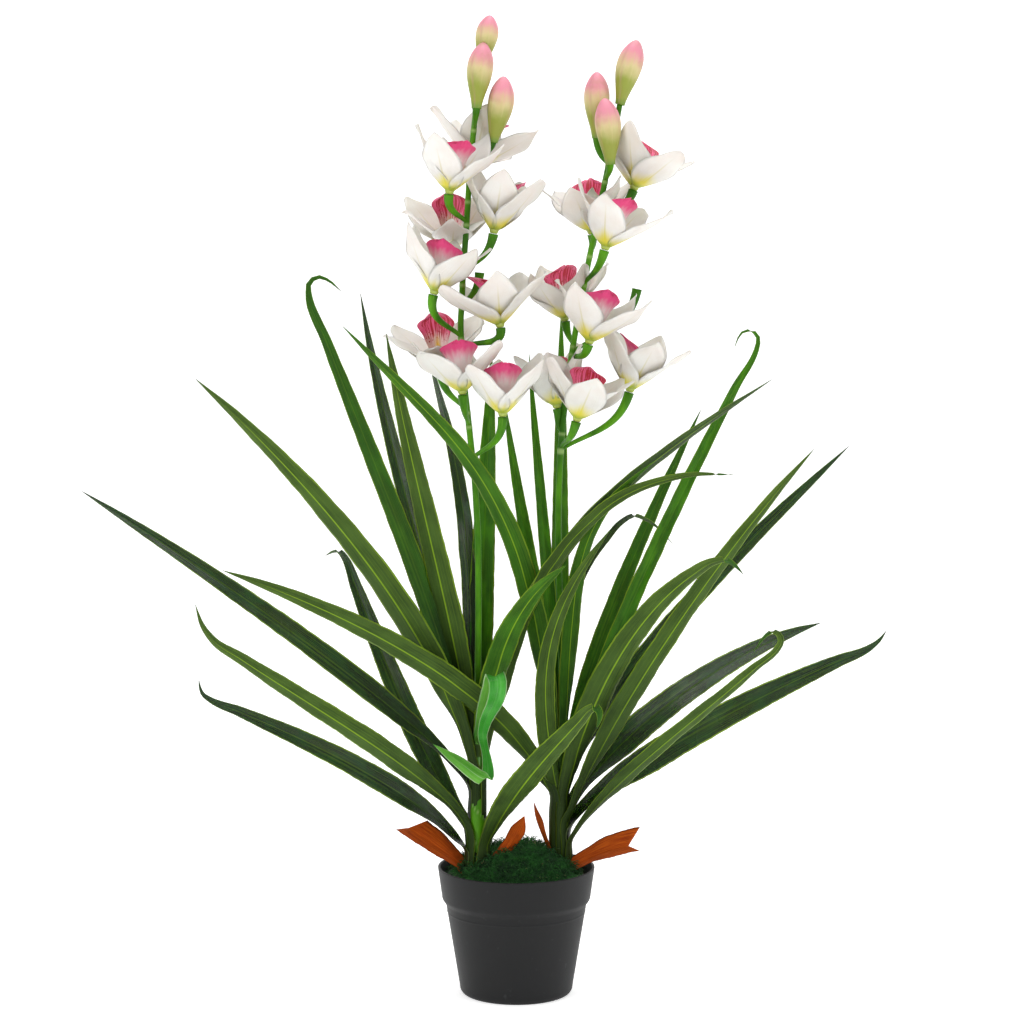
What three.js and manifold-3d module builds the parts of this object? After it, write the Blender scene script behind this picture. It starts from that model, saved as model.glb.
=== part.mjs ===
// A cymbidium-type orchid in a round nursery pot: two shoots with strap leaves and brown bracts, and
// from each shoot a flower spike with buds at the top and open flowers below. Millimetres, +Z up.
// The origin is the centre of the pot's foot, and the viewer's side is -Y.
// Headings are degrees round +Z: 0 is +X, 90 is +Y, -90 is towards the viewer.
import * as THREE from 'three';
import { mergeVertices } from 'three/addons/utils/BufferGeometryUtils.js';
import ManifoldModule from 'manifold-3d';

const wasm = await ManifoldModule();
wasm.setup();

// ---- driving dimensions ----

const GAP = 0.35; // air left between neighbouring pieces

const POT = {
  height: 119, rimRadius: 73, bandHeight: 30, bandFoot: 69, bodyTop: 65.5, bodyFoot: 53,
  footRadius: 50, footHeight: 8, footBulge: 3.2, footStep: 0.8, ledge: 5, wall: 2.2, floor: 3, sides: 40,
};
const FILL_TOP = 96;
const MOSS = { edge: 108, mound: 30, lump: 2.5, rings: 4, spokes: 20 };

const LEFT = { x: -36, y: -12, top: 238 };
const RIGHT = { x: 40, y: 8, top: 238 };
const SHOOT = { foot: 66, footRadius: 9, swell: 165, swellRadius: 11.5, topRadius: 6, sides: 12 };

const STEM = { radius: 2.9, sides: 7, steps: 13 };
const STALK = { thin: 1.9, thick: 4.6, taper: 1.6, sides: 5, steps: 4 };
const STALK_OUT = 0.3; // how far a stalk first goes outwards, as a share of its reach
const STALK_UP = 0.2; // how far it climbs meanwhile
const STALK_IN = 0.45; // how long its end stays in line with the flower
const BUD = { length: 60, sunk: 3, sides: 7, radii: [4.6, 7, 10.6, 11.4, 7] };
const FLOWER = {
  sepal: { length: 66, width: 32, stand: 3.2, low: 3 },
  petal: { length: 62, width: 33, stand: 2.4, low: 5.5 },
  petalOpen: 0.9, thick: 0.8, steps: 5, cup: 0.22, foot: 0.14,
};
const TEPAL = { bendOut: 0.5, bendUp: 0.4, fullness: 0.8, widest: 0.85 };
const SEPAL_TURNS = [180, 48, -48];
const PETAL_TURNS = [112, -112];
const LIP = { length: 43, width: 24, foot: 3, low: 5, out: 13, flare: 3, narrow: 0.4, trough: 0.75 };
const COLUMN = { length: 18, radius: 2.4, back: -1, low: 5, lean: 0.12, cap: 1.08, sides: 5 };
const CALYX = { radius: 5.4, footRadius: 4.3, footTop: 0.8, shoulder: 7, top: 8, sides: 7 };
const LEAF = { steps: 10, thick: 0.8, base: 0.52, full: 0.32, tipStart: 2.6, tipRound: 0.85, fold: 0.2 };
const BRACT = { steps: 5, thick: 0.7, base: 0.45, full: 0.7, fold: 0.35 };
const BLADE = { stand: 5, spread: 0.1, pull: 0.35, arc: 36, thinTip: 0.7 };

// ---- small helpers ----

const vec = (x, y, z) => new THREE.Vector3(x, y, z);
const rad = THREE.MathUtils.degToRad;
const mix = THREE.MathUtils.lerp;
const UP = vec(0, 0, 1);
const compass = (heading) => vec(Math.cos(rad(heading)), Math.sin(rad(heading)), 0);

// A closed skin over rings of points, drawn together to one point at each end.
function skin(rings, first, last) {
  const n = rings[0].length;
  const points = [first, ...rings.flat(), last];
  const index = [];
  for (let k = 0; k < n; k++) {
    const next = (k + 1) % n;
    index.push(0, 1 + next, 1 + k);
    for (let r = 0; r + 1 < rings.length; r++) {
      const a = 1 + r * n;
      index.push(a + k, a + next, a + n + next, a + k, a + n + next, a + n + k);
    }
    const a = 1 + (rings.length - 1) * n;
    index.push(points.length - 1, a + k, a + next);
  }
  const shape = new THREE.BufferGeometry().setFromPoints(points);
  shape.setIndex(index);
  return shape;
}

// A ring of points round a centre, square to a direction.
function circle(centre, direction, radius, sides) {
  const turn = new THREE.Quaternion().setFromUnitVectors(UP, direction.clone().normalize());
  return Array.from({ length: sides }, (_, k) => {
    const a = (2 * Math.PI * k) / sides;
    return vec(radius * Math.cos(a), radius * Math.sin(a), 0).applyQuaternion(turn).add(centre);
  });
}

function bare(geometry) {
  geometry.deleteAttribute('normal');
  geometry.deleteAttribute('uv');
  return mergeVertices(geometry, 1e-4);
}

function toSolid(geometry) {
  const g = bare(geometry.clone());
  return new wasm.Manifold(new wasm.Mesh({
    numProp: 3,
    vertProperties: new Float32Array(g.attributes.position.array),
    triVerts: new Uint32Array(g.index.array),
  }));
}

function fromSolid(solid) {
  const { vertProperties, triVerts } = solid.getMesh();
  const geometry = new THREE.BufferGeometry();
  geometry.setAttribute('position', new THREE.BufferAttribute(new Float32Array(vertProperties), 3));
  geometry.setIndex([...triVerts]);
  return geometry;
}

function joined(geometries) {
  return fromSolid(mainBody(geometries.map(toSolid).reduce((sum, solid) => sum.add(solid))));
}

function mainBody(solid) {
  return solid.decompose().reduce((big, one) => (one.volume() > big.volume() ? one : big));
}

// The same shape with its surface moved out all round by a distance.
function swollen(geometry, distance) {
  const g = bare(geometry.clone());
  g.computeVertexNormals();
  const place = g.attributes.position;
  const normal = g.attributes.normal;
  for (let i = 0; i < place.count; i++) {
    place.setXYZ(
      i,
      place.getX(i) + normal.getX(i) * distance,
      place.getY(i) + normal.getY(i) * distance,
      place.getZ(i) + normal.getZ(i) * distance,
    );
  }
  return g;
}

// ---- pot, fill and moss ----

function potShape() {
  const p = POT;
  const bandZ = p.height - p.bandHeight;
  const outside = [
    [0, 0], [p.footRadius, 0], [p.bodyFoot - p.footStep, p.footBulge], [p.bodyFoot, p.footHeight],
    [p.bodyTop, bandZ - p.ledge], [p.bandFoot, bandZ], [p.rimRadius, p.height],
  ];
  const inside = [
    [p.rimRadius - p.wall, p.height], [p.bandFoot - p.wall, bandZ],
    [p.bodyTop - p.wall, bandZ - p.ledge], [p.bodyFoot - p.wall, p.footHeight],
    [p.footRadius - p.wall, p.floor], [0, p.floor],
  ];
  return turned([...outside, ...inside], p.sides);
}

// An outline of [radius, height] points turned round Z. A lathe turns round Y, so it is stood up.
function turned(outline, sides) {
  const points = outline.map(([r, z]) => new THREE.Vector2(r, z));
  return new THREE.LatheGeometry(points, sides).rotateX(Math.PI / 2);
}

// The pot's inner radius at a height.
function insideRadius(z) {
  const p = POT;
  const bandZ = p.height - p.bandHeight;
  if (z > bandZ) return mix(p.bandFoot, p.rimRadius, (z - bandZ) / p.bandHeight) - p.wall;
  if (z > bandZ - p.ledge) return mix(p.bodyTop, p.bandFoot, (z - bandZ + p.ledge) / p.ledge) - p.wall;
  return mix(p.bodyFoot, p.bodyTop, (z - p.footHeight) / (bandZ - p.ledge - p.footHeight)) - p.wall;
}

function fillShape() {
  const bandZ = POT.height - POT.bandHeight;
  const levels = [POT.footHeight, bandZ - POT.ledge, bandZ, FILL_TOP];
  const side = levels.map((z) => [insideRadius(z) - 2 * GAP, z]);
  const low = POT.floor + GAP;
  const foot = [[0, low], [POT.footRadius - POT.wall - 2 * GAP, low]];
  return turned([...foot, ...side, [0, FILL_TOP]], POT.sides);
}

// A lumpy mound that stands highest between the two shoots.
function mossShape() {
  const m = MOSS;
  const low = FILL_TOP + GAP;
  const rings = [];
  const edge = insideRadius(low) - 2 * GAP;
  rings.push(mossRing(edge, () => low));
  for (let r = m.rings; r > 0; r--) {
    const out = r / m.rings;
    const radius = r === m.rings ? insideRadius(m.edge) - 2 * GAP : edge * out;
    rings.push(mossRing(radius, (a) => {
      const lump = m.lump * Math.sin(3 * a + 2 * r) * Math.cos(5 * a - r) * (r === m.rings ? 0.5 : 1);
      return m.edge + m.mound * (1 - out * out) + lump;
    }));
  }
  return skin(rings, vec(0, 0, low), vec(0, 0, m.edge + m.mound));
}

function mossRing(radius, height) {
  return Array.from({ length: MOSS.spokes }, (_, k) => {
    const a = (2 * Math.PI * k) / MOSS.spokes;
    return vec(radius * Math.cos(a), radius * Math.sin(a), height(a));
  });
}

// ---- shoots ----

// A shoot is fullest where the leaf sheaths wrap it, and narrows to the foot of its flower spike.
function shootShape(shoot) {
  const s = SHOOT;
  const outline = [
    [0, s.foot], [s.footRadius, s.foot], [s.swellRadius, s.swell], [s.topRadius, shoot.top], [0, shoot.top],
  ];
  return turned(outline, s.sides);
}

// ---- leaves and bracts ----

// A blade leaves its shoot at height `from` and goes towards `heading`. It ends `reach` away and `rise`
// higher, sloping at `tilt` degrees; `lift` is how far it first climbs along the shoot, `spread` how
// soon it goes out, `sway` how far it bows sideways, and `roll` how it turns on itself from foot to tip.
// Each of `bends` is [turn down in degrees, radius, straight run after it].
function bladeSpine(blade, steps) {
  const start = new THREE.Vector2(BLADE.stand, blade.from);
  const end = new THREE.Vector2(blade.reach, blade.from + blade.rise);
  const pull = BLADE.pull * start.distanceTo(end);
  const slope = rad(blade.tilt);
  const curve = new THREE.CubicBezierCurve(
    start,
    new THREE.Vector2(BLADE.stand + (blade.spread ?? BLADE.spread) * blade.reach, blade.from + blade.lift),
    new THREE.Vector2(end.x - pull * Math.cos(slope), end.y - pull * Math.sin(slope)),
    end,
  );
  const flat = curve.getSpacedPoints(steps);
  let angle = slope;
  for (const [turn, radius, run] of blade.bends ?? []) {
    const parts = Math.max(1, Math.round(Math.abs(turn) / BLADE.arc));
    const bit = rad(turn) / parts;
    for (let k = 0; k < parts; k++) {
      const stride = 2 * radius * Math.sin(Math.abs(bit) / 2);
      flat.push(ahead(flat.at(-1), angle - bit / 2, stride));
      angle -= bit;
    }
    flat.push(ahead(flat.at(-1), angle, run));
  }
  return flat;
}

function ahead(point, angle, distance) {
  return new THREE.Vector2(point.x + distance * Math.cos(angle), point.y + distance * Math.sin(angle));
}

// Width along a leaf, from its sheathed base over its full middle to a long fine tip.
function leafWidth(s) {
  const swell = mix(LEAF.base, 1, THREE.MathUtils.smoothstep(s, 0, LEAF.full));
  return swell * (1 - s ** LEAF.tipStart) ** LEAF.tipRound;
}

// Width along a bract, from its narrow foot to its broad cut end.
function bractWidth(s) {
  return mix(BRACT.base, 1, THREE.MathUtils.smoothstep(s, 0, BRACT.full));
}

function bladeShape(blade, steps, widthAt, thick, fold) {
  const flat = bladeSpine(blade, steps);
  const out = compass(blade.heading);
  const aside = vec(-out.y, out.x, 0);
  const run = [0];
  for (let k = 1; k < flat.length; k++) run.push(run[k - 1] + flat[k].distanceTo(flat[k - 1]));
  const part = run.map((d) => d / run.at(-1));
  const spine = flat.map((p, k) => out.clone().multiplyScalar(p.x).addScaledVector(UP, p.y)
    .addScaledVector(aside, (blade.sway ?? 0) * Math.sin(Math.PI * part[k]) * part[k] ** 0.5));
  const [rollStart, rollEnd] = blade.roll ?? [0, 0];
  const rings = spine.slice(0, -1).map((p, k) => {
    const along = spine[k + 1].clone().sub(spine[Math.max(0, k - 1)]).normalize();
    const side = aside.clone().addScaledVector(along, -aside.dot(along)).normalize()
      .applyAxisAngle(along, rad(mix(rollStart, rollEnd, part[k])));
    const face = along.clone().cross(side);
    const half = (blade.width * widthAt(part[k])) / 2;
    const body = thick * mix(1, BLADE.thinTip, part[k]);
    return [
      p.clone().addScaledVector(side, half).addScaledVector(face, fold * half),
      p.clone().addScaledVector(face, body),
      p.clone().addScaledVector(side, -half).addScaledVector(face, fold * half),
      p.clone().addScaledVector(face, -body),
    ];
  });
  return skin(rings, spine[0].clone().lerp(spine[1], 0.02), spine.at(-1));
}

const leafShape = (leaf) => bladeShape(leaf, LEAF.steps, leafWidth, LEAF.thick, LEAF.fold);
const bractShape = (bract) => bladeShape(bract, BRACT.steps, bractWidth, BRACT.thick, BRACT.fold);

const LEFT_LEAVES = [
  { heading: 80, from: 228, reach: 75, rise: 370, lift: 150, tilt: 80, width: 25 },
  { heading: 84, from: 212, reach: 125, rise: 370, lift: 150, tilt: 68, width: 18 },
  { heading: 212, from: 222, reach: 95, rise: 395, lift: 100, tilt: 79, width: 27, roll: [10, 25] },
  { heading: 196, from: 205, reach: 156, rise: 446, lift: 130, tilt: 70, width: 21, roll: [-50, -65],
    bends: [[-150, 11, 18]] },
  { heading: 125, from: 212, reach: 202, rise: 440, lift: 85, tilt: 74, width: 21 },
  { heading: 108, from: 225, reach: 160, rise: 366, lift: 250, tilt: 46, width: 17 },
  { heading: 212, from: 208, reach: 283, rise: 372, lift: 125, tilt: 40, width: 31 },
  { heading: -6, from: 215, reach: 270, rise: 360, lift: 205, tilt: 34, width: 19 },
  { heading: -15, from: 190, reach: 240, rise: 300, lift: 200, tilt: -4, width: 20 },
  { heading: -50, from: 200, reach: 125, rise: 213, lift: 120, tilt: 30, width: 29 },
  { heading: -75, from: 215, reach: 60, rise: 90, lift: 50, tilt: 60, width: 19,
    bends: [[200, 8, 66], [-120, 7, 38]] },
  { heading: 136, from: 150, reach: 180, rise: 245, lift: 50, spread: 0.35, tilt: 60, width: 25,
    bends: [[80, 12, 16]] },
  { heading: 172, from: 195, reach: 376, rise: 272, lift: 58, tilt: 31, width: 23, roll: [-15, -30] },
  { heading: 211, from: 150, reach: 266, rise: 202, lift: 55, tilt: 36, width: 24, roll: [25, 35],
    bends: [[-35, 25, 22]] },
  { heading: 189, from: 122, reach: 246, rise: 162, lift: 60, tilt: 24, width: 23, roll: [-25, -30],
    bends: [[-60, 14, 8]] },
  { heading: -44, from: 120, reach: 142, rise: 165, lift: 55, tilt: 42, width: 31, bends: [[150, 6, 12]] },
];

const RIGHT_LEAVES = [
  { heading: 88, from: 225, reach: 82, rise: 414, lift: 150, tilt: 80, width: 18 },
  { heading: 118, from: 215, reach: 60, rise: 382, lift: 150, tilt: 82, width: 14 },
  { heading: 118, from: 205, reach: 112, rise: 350, lift: 110, tilt: 74, width: 17 },
  { heading: 218, from: 205, reach: 243, rise: 420, lift: 280, tilt: 42, width: 23, roll: [0, 15] },
  { heading: -40, from: 195, reach: 110, rise: 307, lift: 230, tilt: 36, width: 19 },
  { heading: 5, from: 190, reach: 184, rise: 412, lift: 90, tilt: 62, width: 18, bends: [[-190, 10, 12]] },
  { heading: 25, from: 222, reach: 64, rise: 215, lift: 160, tilt: 45, width: 10, bends: [[85, 20, 40]] },
  { heading: 40, from: 195, reach: 182, rise: 345, lift: 100, tilt: 56, width: 18 },
  { heading: 208, from: 178, reach: 335, rise: 235, lift: 95, tilt: 20, width: 27, roll: [30, 40] },
  { heading: -62, from: 140, reach: 96, rise: 303, lift: 150, tilt: 58, width: 21, sway: -42 },
  { heading: 11, from: 180, reach: 280, rise: 328, lift: 105, tilt: 42, width: 21, roll: [15, 30] },
  { heading: -45, from: 168, reach: 190, rise: 250, lift: 90, tilt: 24, width: 31, bends: [[60, 22, 12]] },
  { heading: -30, from: 146, reach: 255, rise: 371, lift: 85, tilt: 47, width: 25 },
  { heading: 28, from: 158, reach: 294, rise: 170, lift: 65, tilt: 10, width: 29, roll: [10, 25] },
  { heading: 4, from: 150, reach: 292, rise: 170, lift: 48, tilt: 22, width: 29, roll: [20, 40],
    bends: [[-32, 20, 12]] },
  { heading: -35, from: 126, reach: 232, rise: 216, lift: 60, tilt: 42, width: 18, bends: [[-190, 8, 24]] },
];

const LEFT_BRACTS = [
  { heading: 186, from: 108, reach: 66, rise: 52, lift: 14, tilt: 36, width: 30, roll: [-30, -45] },
  { heading: -8, from: 108, reach: 44, rise: 62, lift: 6, tilt: 74, width: 14, roll: [-70, -80] },
];
const RIGHT_BRACTS = [
  { heading: 196, from: 108, reach: 25, rise: 72, lift: 28, tilt: 86, width: 14 },
  { heading: -14, from: 106, reach: 76, rise: 36, lift: 14, tilt: 12, width: 30, roll: [25, 40] },
];

// ---- flower spikes ----

// A stem's bends, measured from its shoot's own axis.
const LEFT_STEM = [[0, 0, 239], [0, 0, 450], [-15, 5, 615], [-10, 5, 700], [-5, 10, 780], [5, 10, 860]];
const RIGHT_STEM = [
  [5, 0, 239], [20, 0, 450], [30, 0, 525], [40, 0, 600], [45, 0, 690], [50, 0, 770], [55, 0, 825],
];

// A flower's stalk leaves the stem at the height `node`. The flower's foot stands `out` from the stem
// towards `heading`, and `climb` higher than the node. It leans [towards a heading, by some degrees], its
// lip faces the heading `lip`, and `open` is its spread.
const LEFT_FLOWERS = [
  { node: 715, heading: 235, out: 30, climb: 25, lean: [-30, 10], lip: -70, open: 40 },
  { node: 735, heading: 85, out: 30, climb: 30, lean: [40, 20], lip: 20, open: 50 },
  { node: 670, heading: -5, out: 25, climb: 35, lean: [0, 10], lip: 20, open: 35 },
  { node: 660, heading: 110, out: 40, climb: 30, lean: [-90, 20], lip: 95, open: 50 },
  { node: 610, heading: 230, out: 40, climb: 40, lean: [0, 15], lip: -100, open: 40 },
  { node: 600, heading: -25, out: 40, climb: 20, lean: [190, 10], lip: 165, open: 50 },
  { node: 530, heading: 265, out: 30, climb: 30, lean: [180, 5], lip: -85, open: 45 },
  { node: 545, heading: 130, out: 35, climb: 35, lean: [-110, 15], lip: 90, open: 55 },
  { node: 500, heading: -45, out: 45, climb: 40, lean: [0, 0], lip: -85, open: 40 },
];
const RIGHT_FLOWERS = [
  { node: 715, heading: 20, out: 20, climb: 30, lean: [20, 20], lip: 125, open: 50 },
  { node: 680, heading: 130, out: 25, climb: 25, lean: [200, 10], lip: 75, open: 45 },
  { node: 655, heading: 260, out: 30, climb: 35, lean: [0, 15], lip: -60, open: 45 },
  { node: 595, heading: 155, out: 40, climb: 30, lean: [200, 10], lip: 60, open: 45 },
  { node: 580, heading: 245, out: 35, climb: 25, lean: [20, 15], lip: -75, open: 45 },
  { node: 525, heading: 10, out: 30, climb: 35, lean: [0, 15], lip: 175, open: 40 },
  { node: 480, heading: 175, out: 35, climb: 65, lean: [170, 10], lip: 90, open: 35 },
  { node: 500, heading: 245, out: 40, climb: 35, lean: [0, 15], lip: 95, open: 45 },
];

// Buds are placed as the flowers are. The first of each spike is the end of its stem.
const LEFT_BUDS = [
  { node: 860, heading: 0, out: 0, climb: 0, lean: [0, 10], size: 0.75 },
  { node: 790, heading: 250, out: 10, climb: 30, lean: [0, 10], size: 1 },
  { node: 770, heading: -20, out: 20, climb: 20, lean: [0, 10], size: 1 },
];
const RIGHT_BUDS = [
  { node: 825, heading: 0, out: 0, climb: 0, lean: [0, 15], size: 1 },
  { node: 765, heading: 160, out: 20, climb: 30, lean: [180, 0], size: 1 },
  { node: 750, heading: 250, out: 15, climb: 20, lean: [180, 5], size: 1 },
];

// Bare stalks whose flowers have gone.
const LEFT_STUB = { node: 640, heading: 45, out: 20, climb: 30, lean: [0, 5] };
const RIGHT_STUB = { node: 620, heading: 20, out: 30, climb: 35, lean: [0, 10] };

const axisOf = ({ lean: [heading, angle] }) => compass(heading).multiplyScalar(Math.sin(rad(angle)))
  .addScaledVector(UP, Math.cos(rad(angle)));

function stemPoint(stem, z) {
  const k = Math.max(1, stem.findIndex((p) => p[2] >= z));
  const a = vec(...stem[k - 1]);
  const b = vec(...stem[k]);
  return a.lerp(b, (z - a.z) / (b.z - a.z));
}

// Where a flower, bud or bare stalk has its foot.
function standOf(stem, { node, heading, out, climb }) {
  const beside = stemPoint(stem, Math.min(node + climb, stem.at(-1)[2]));
  return beside.setZ(node + climb).addScaledVector(compass(heading), out);
}

// A stalk leaves the stem outwards and turns up into its flower or bud, thickening as it goes.
function stalkShape(stem, piece) {
  const axis = axisOf(piece);
  const foot = stemPoint(stem, piece.node);
  const head = standOf(stem, piece).addScaledVector(axis, -GAP);
  const reach = foot.distanceTo(head);
  const away = head.clone().sub(foot).setZ(0).normalize();
  const curve = new THREE.CubicBezierCurve3(
    foot,
    foot.clone().addScaledVector(away, STALK_OUT * reach).addScaledVector(UP, STALK_UP * reach),
    head.clone().addScaledVector(axis, -STALK_IN * reach),
    head,
  );
  const rings = curve.getSpacedPoints(STALK.steps).map((p, k) => {
    const t = k / STALK.steps;
    return circle(p, curve.getTangentAt(t), mix(STALK.thin, STALK.thick, t ** STALK.taper), STALK.sides);
  });
  return skin(rings, foot, head);
}

function budShape(stem, bud) {
  const axis = axisOf(bud);
  const long = BUD.length * bud.size;
  const foot = standOf(stem, bud).addScaledVector(axis, -BUD.sunk);
  const rings = BUD.radii.map((radius, k) => {
    const centre = foot.clone().addScaledVector(axis, (long * (k + 0.1)) / BUD.radii.length);
    return circle(centre, axis, radius * Math.sqrt(bud.size), BUD.sides);
  });
  return skin(rings, foot, foot.clone().addScaledVector(axis, long));
}

function stemShape(stem) {
  const round = new THREE.Shape(circle(vec(0, 0, 0), UP, STEM.radius, STEM.sides));
  const path = new THREE.CatmullRomCurve3(stem.map((p) => vec(...p)));
  return new THREE.ExtrudeGeometry(round, { steps: STEM.steps, extrudePath: path, bevelEnabled: false });
}

function spikeShape(stem, flowers, buds, stub) {
  const stalks = [...flowers, ...buds.slice(1), stub].map((piece) => stalkShape(stem, piece));
  return joined([stemShape(stem), ...stalks, ...buds.map((bud) => budShape(stem, bud))]);
}

// ---- flowers ----

// One sepal or petal: it stands on the calyx, swings out by `open` degrees and ends in a point.
function tepalShape({ length, width, stand, low }, turn, open) {
  const f = FLOWER;
  const out = length * Math.sin(rad(open));
  const up = length * Math.cos(rad(open));
  const curve = new THREE.QuadraticBezierCurve(
    new THREE.Vector2(stand, low),
    new THREE.Vector2(stand + TEPAL.bendOut * out, low + TEPAL.bendUp * up),
    new THREE.Vector2(stand + out, low + up),
  );
  const side = vec(0, 1, 0);
  const rings = [];
  for (let k = 0; k < f.steps; k++) {
    const t = k / f.steps;
    const p = curve.getPointAt(t);
    const along = curve.getTangentAt(t);
    const inward = vec(-along.y, 0, along.x);
    const oval = Math.sin(Math.PI * t ** TEPAL.widest) ** TEPAL.fullness;
    const half = (width / 2) * mix(oval, 1, f.foot);
    const centre = vec(p.x, 0, p.y);
    rings.push([
      centre.clone().addScaledVector(side, half).addScaledVector(inward, f.cup * half),
      centre.clone().addScaledVector(side, -half).addScaledVector(inward, f.cup * half),
      centre.clone().addScaledVector(inward, -f.thick),
    ]);
  }
  const tip = curve.getPointAt(1);
  return skin(rings, vec(stand, 0, low), vec(tip.x, 0, tip.y)).rotateZ(rad(turn));
}

// The lip is a trough that stands up on one side and opens towards the column.
function lipShape() {
  const l = LIP;
  const side = vec(0, 1, 0);
  const inward = vec(-0.95, 0, 0.3);
  const rings = [0, 0.5, 1].map((t) => {
    const centre = vec(l.foot + l.out * t + l.flare * t * t, 0, l.low + l.length * t);
    const half = (l.width / 2) * mix(l.narrow, 1, Math.sin((t * Math.PI) / 2));
    return [
      centre.clone().addScaledVector(side, half).addScaledVector(inward, l.trough * half),
      centre.clone().addScaledVector(inward, FLOWER.thick),
      centre.clone().addScaledVector(side, -half).addScaledVector(inward, l.trough * half),
      centre.clone().addScaledVector(inward, -FLOWER.thick),
    ];
  });
  return skin(rings, vec(l.foot, 0, l.low), vec(l.foot + l.out + l.flare, 0, l.low + l.length + 1));
}

function columnShape() {
  const c = COLUMN;
  const foot = vec(c.back, 0, c.low);
  const axis = vec(c.lean, 0, 1).normalize();
  const ring = (t) => circle(foot.clone().addScaledVector(axis, t * c.length), axis, c.radius, c.sides);
  return skin([ring(0), ring(1)], foot, foot.clone().addScaledVector(axis, c.length * c.cap));
}

// The calyx starts in a blunt point that meets the stalk.
function calyxShape() {
  const c = CALYX;
  const rings = [
    circle(vec(0, 0, c.footTop), UP, c.footRadius, c.sides),
    circle(vec(0, 0, c.shoulder), UP, c.radius, c.sides),
  ];
  return skin(rings, vec(0, 0, 0), vec(0, 0, c.top));
}

function flowerShape(open) {
  const sepals = SEPAL_TURNS.map((turn) => tepalShape(FLOWER.sepal, turn, open));
  const petals = PETAL_TURNS.map((turn) => tepalShape(FLOWER.petal, turn, FLOWER.petalOpen * open));
  return joined([calyxShape(), ...sepals, ...petals, lipShape(), columnShape()]);
}

// ---- finishes ----

const finish = (color, roughness) => () => new THREE.MeshStandardMaterial({ color, roughness, metalness: 0 });
const blackPlastic = finish('#242628', 0.6);
const soil = finish('#4a3626', 0.95);
const mossGreen = finish('#31401f', 0.95);
const stemGreen = finish('#4c8424', 0.55);
const leafGreen = finish('#2f5c22', 0.45);
const bractBrown = finish('#a5501f', 0.7);
const petalWhite = finish('#f1efe9', 0.5);

// ---- assembly ----

const orchid = new THREE.Group();
const placed = []; // world-space solids, each also a little swollen, that later pieces keep clear of

function piece(group, name, geometry, material, place) {
  const mesh = new THREE.Mesh(geometry, material());
  mesh.name = name;
  if (place) {
    mesh.position.copy(place.at);
    mesh.quaternion.copy(place.turn);
  }
  group.add(mesh);
  group.updateWorldMatrix(true, true);
  const whole = geometry.clone().applyMatrix4(mesh.matrixWorld);
  const solid = toSolid(whole);
  const near = placed.filter((other) => touches(solid, other));
  const clear = near.reduce((rest, other) => rest.subtract(other), solid);
  const kept = fromSolid(mainBody(clear));
  placed.push(toSolid(swollen(whole, GAP)), toSolid(kept));
  mesh.geometry = kept.applyMatrix4(mesh.matrixWorld.clone().invert());
  return mesh;
}

function touches(a, b) {
  const p = a.boundingBox();
  const q = b.boundingBox();
  return [0, 1, 2].every((k) => p.min[k] < q.max[k] && q.min[k] < p.max[k]);
}

function plant(shoot) {
  const group = new THREE.Group();
  group.position.set(shoot.x, shoot.y, 0);
  orchid.add(group);
  return group;
}

// The flower's +Z is turned to its lean, and its lip to the heading that it faces.
function flowerPlace(stem, flower) {
  const tip = new THREE.Quaternion().setFromUnitVectors(UP, axisOf(flower));
  const spin = new THREE.Quaternion().setFromAxisAngle(UP, rad(flower.lip));
  return { at: standOf(stem, flower), turn: tip.multiply(spin) };
}

const two = (n) => String(n + 1).padStart(2, '0');

piece(orchid, 'pot', potShape(), blackPlastic);
const sides = [
  { name: 'left', shoot: LEFT, stem: LEFT_STEM, flowers: LEFT_FLOWERS, buds: LEFT_BUDS, stub: LEFT_STUB,
    leaves: LEFT_LEAVES, bracts: LEFT_BRACTS },
  { name: 'right', shoot: RIGHT, stem: RIGHT_STEM, flowers: RIGHT_FLOWERS, buds: RIGHT_BUDS, stub: RIGHT_STUB,
    leaves: RIGHT_LEAVES, bracts: RIGHT_BRACTS },
].map((side) => ({ ...side, group: plant(side.shoot) }));

for (const s of sides) piece(s.group, `${s.name}_shoot`, shootShape(s.shoot), stemGreen);
piece(orchid, 'potting_fill', fillShape(), soil);
piece(orchid, 'moss', mossShape(), mossGreen);
for (const s of sides) {
  piece(s.group, `${s.name}_flower_spike`, spikeShape(s.stem, s.flowers, s.buds, s.stub), stemGreen);
}
for (const s of sides) {
  s.flowers.forEach((flower, n) => {
    const shape = flowerShape(flower.open);
    piece(s.group, `${s.name}_flower_${n + 1}`, shape, petalWhite, flowerPlace(s.stem, flower));
  });
}
for (const s of sides) {
  s.leaves.forEach((leaf, n) => piece(s.group, `${s.name}_leaf_${two(n)}`, leafShape(leaf), leafGreen));
}
for (const s of sides) {
  s.bracts.forEach((bract, n) => piece(s.group, `${s.name}_bract_${n + 1}`, bractShape(bract), bractBrown));
}

export default orchid;
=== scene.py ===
"""Looks of a potted orchid: strap leaves, brown bracts, moss, flower spikes with buds, and open flowers.

Metres, +Z up, the viewer's side is -Y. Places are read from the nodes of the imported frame, and each piece is
a finer mesh that stands for its node.
"""
import math
import random
from itertools import combinations

import bmesh
import bpy
import numpy as np
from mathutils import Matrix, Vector
from mathutils.bvhtree import BVHTree


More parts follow.
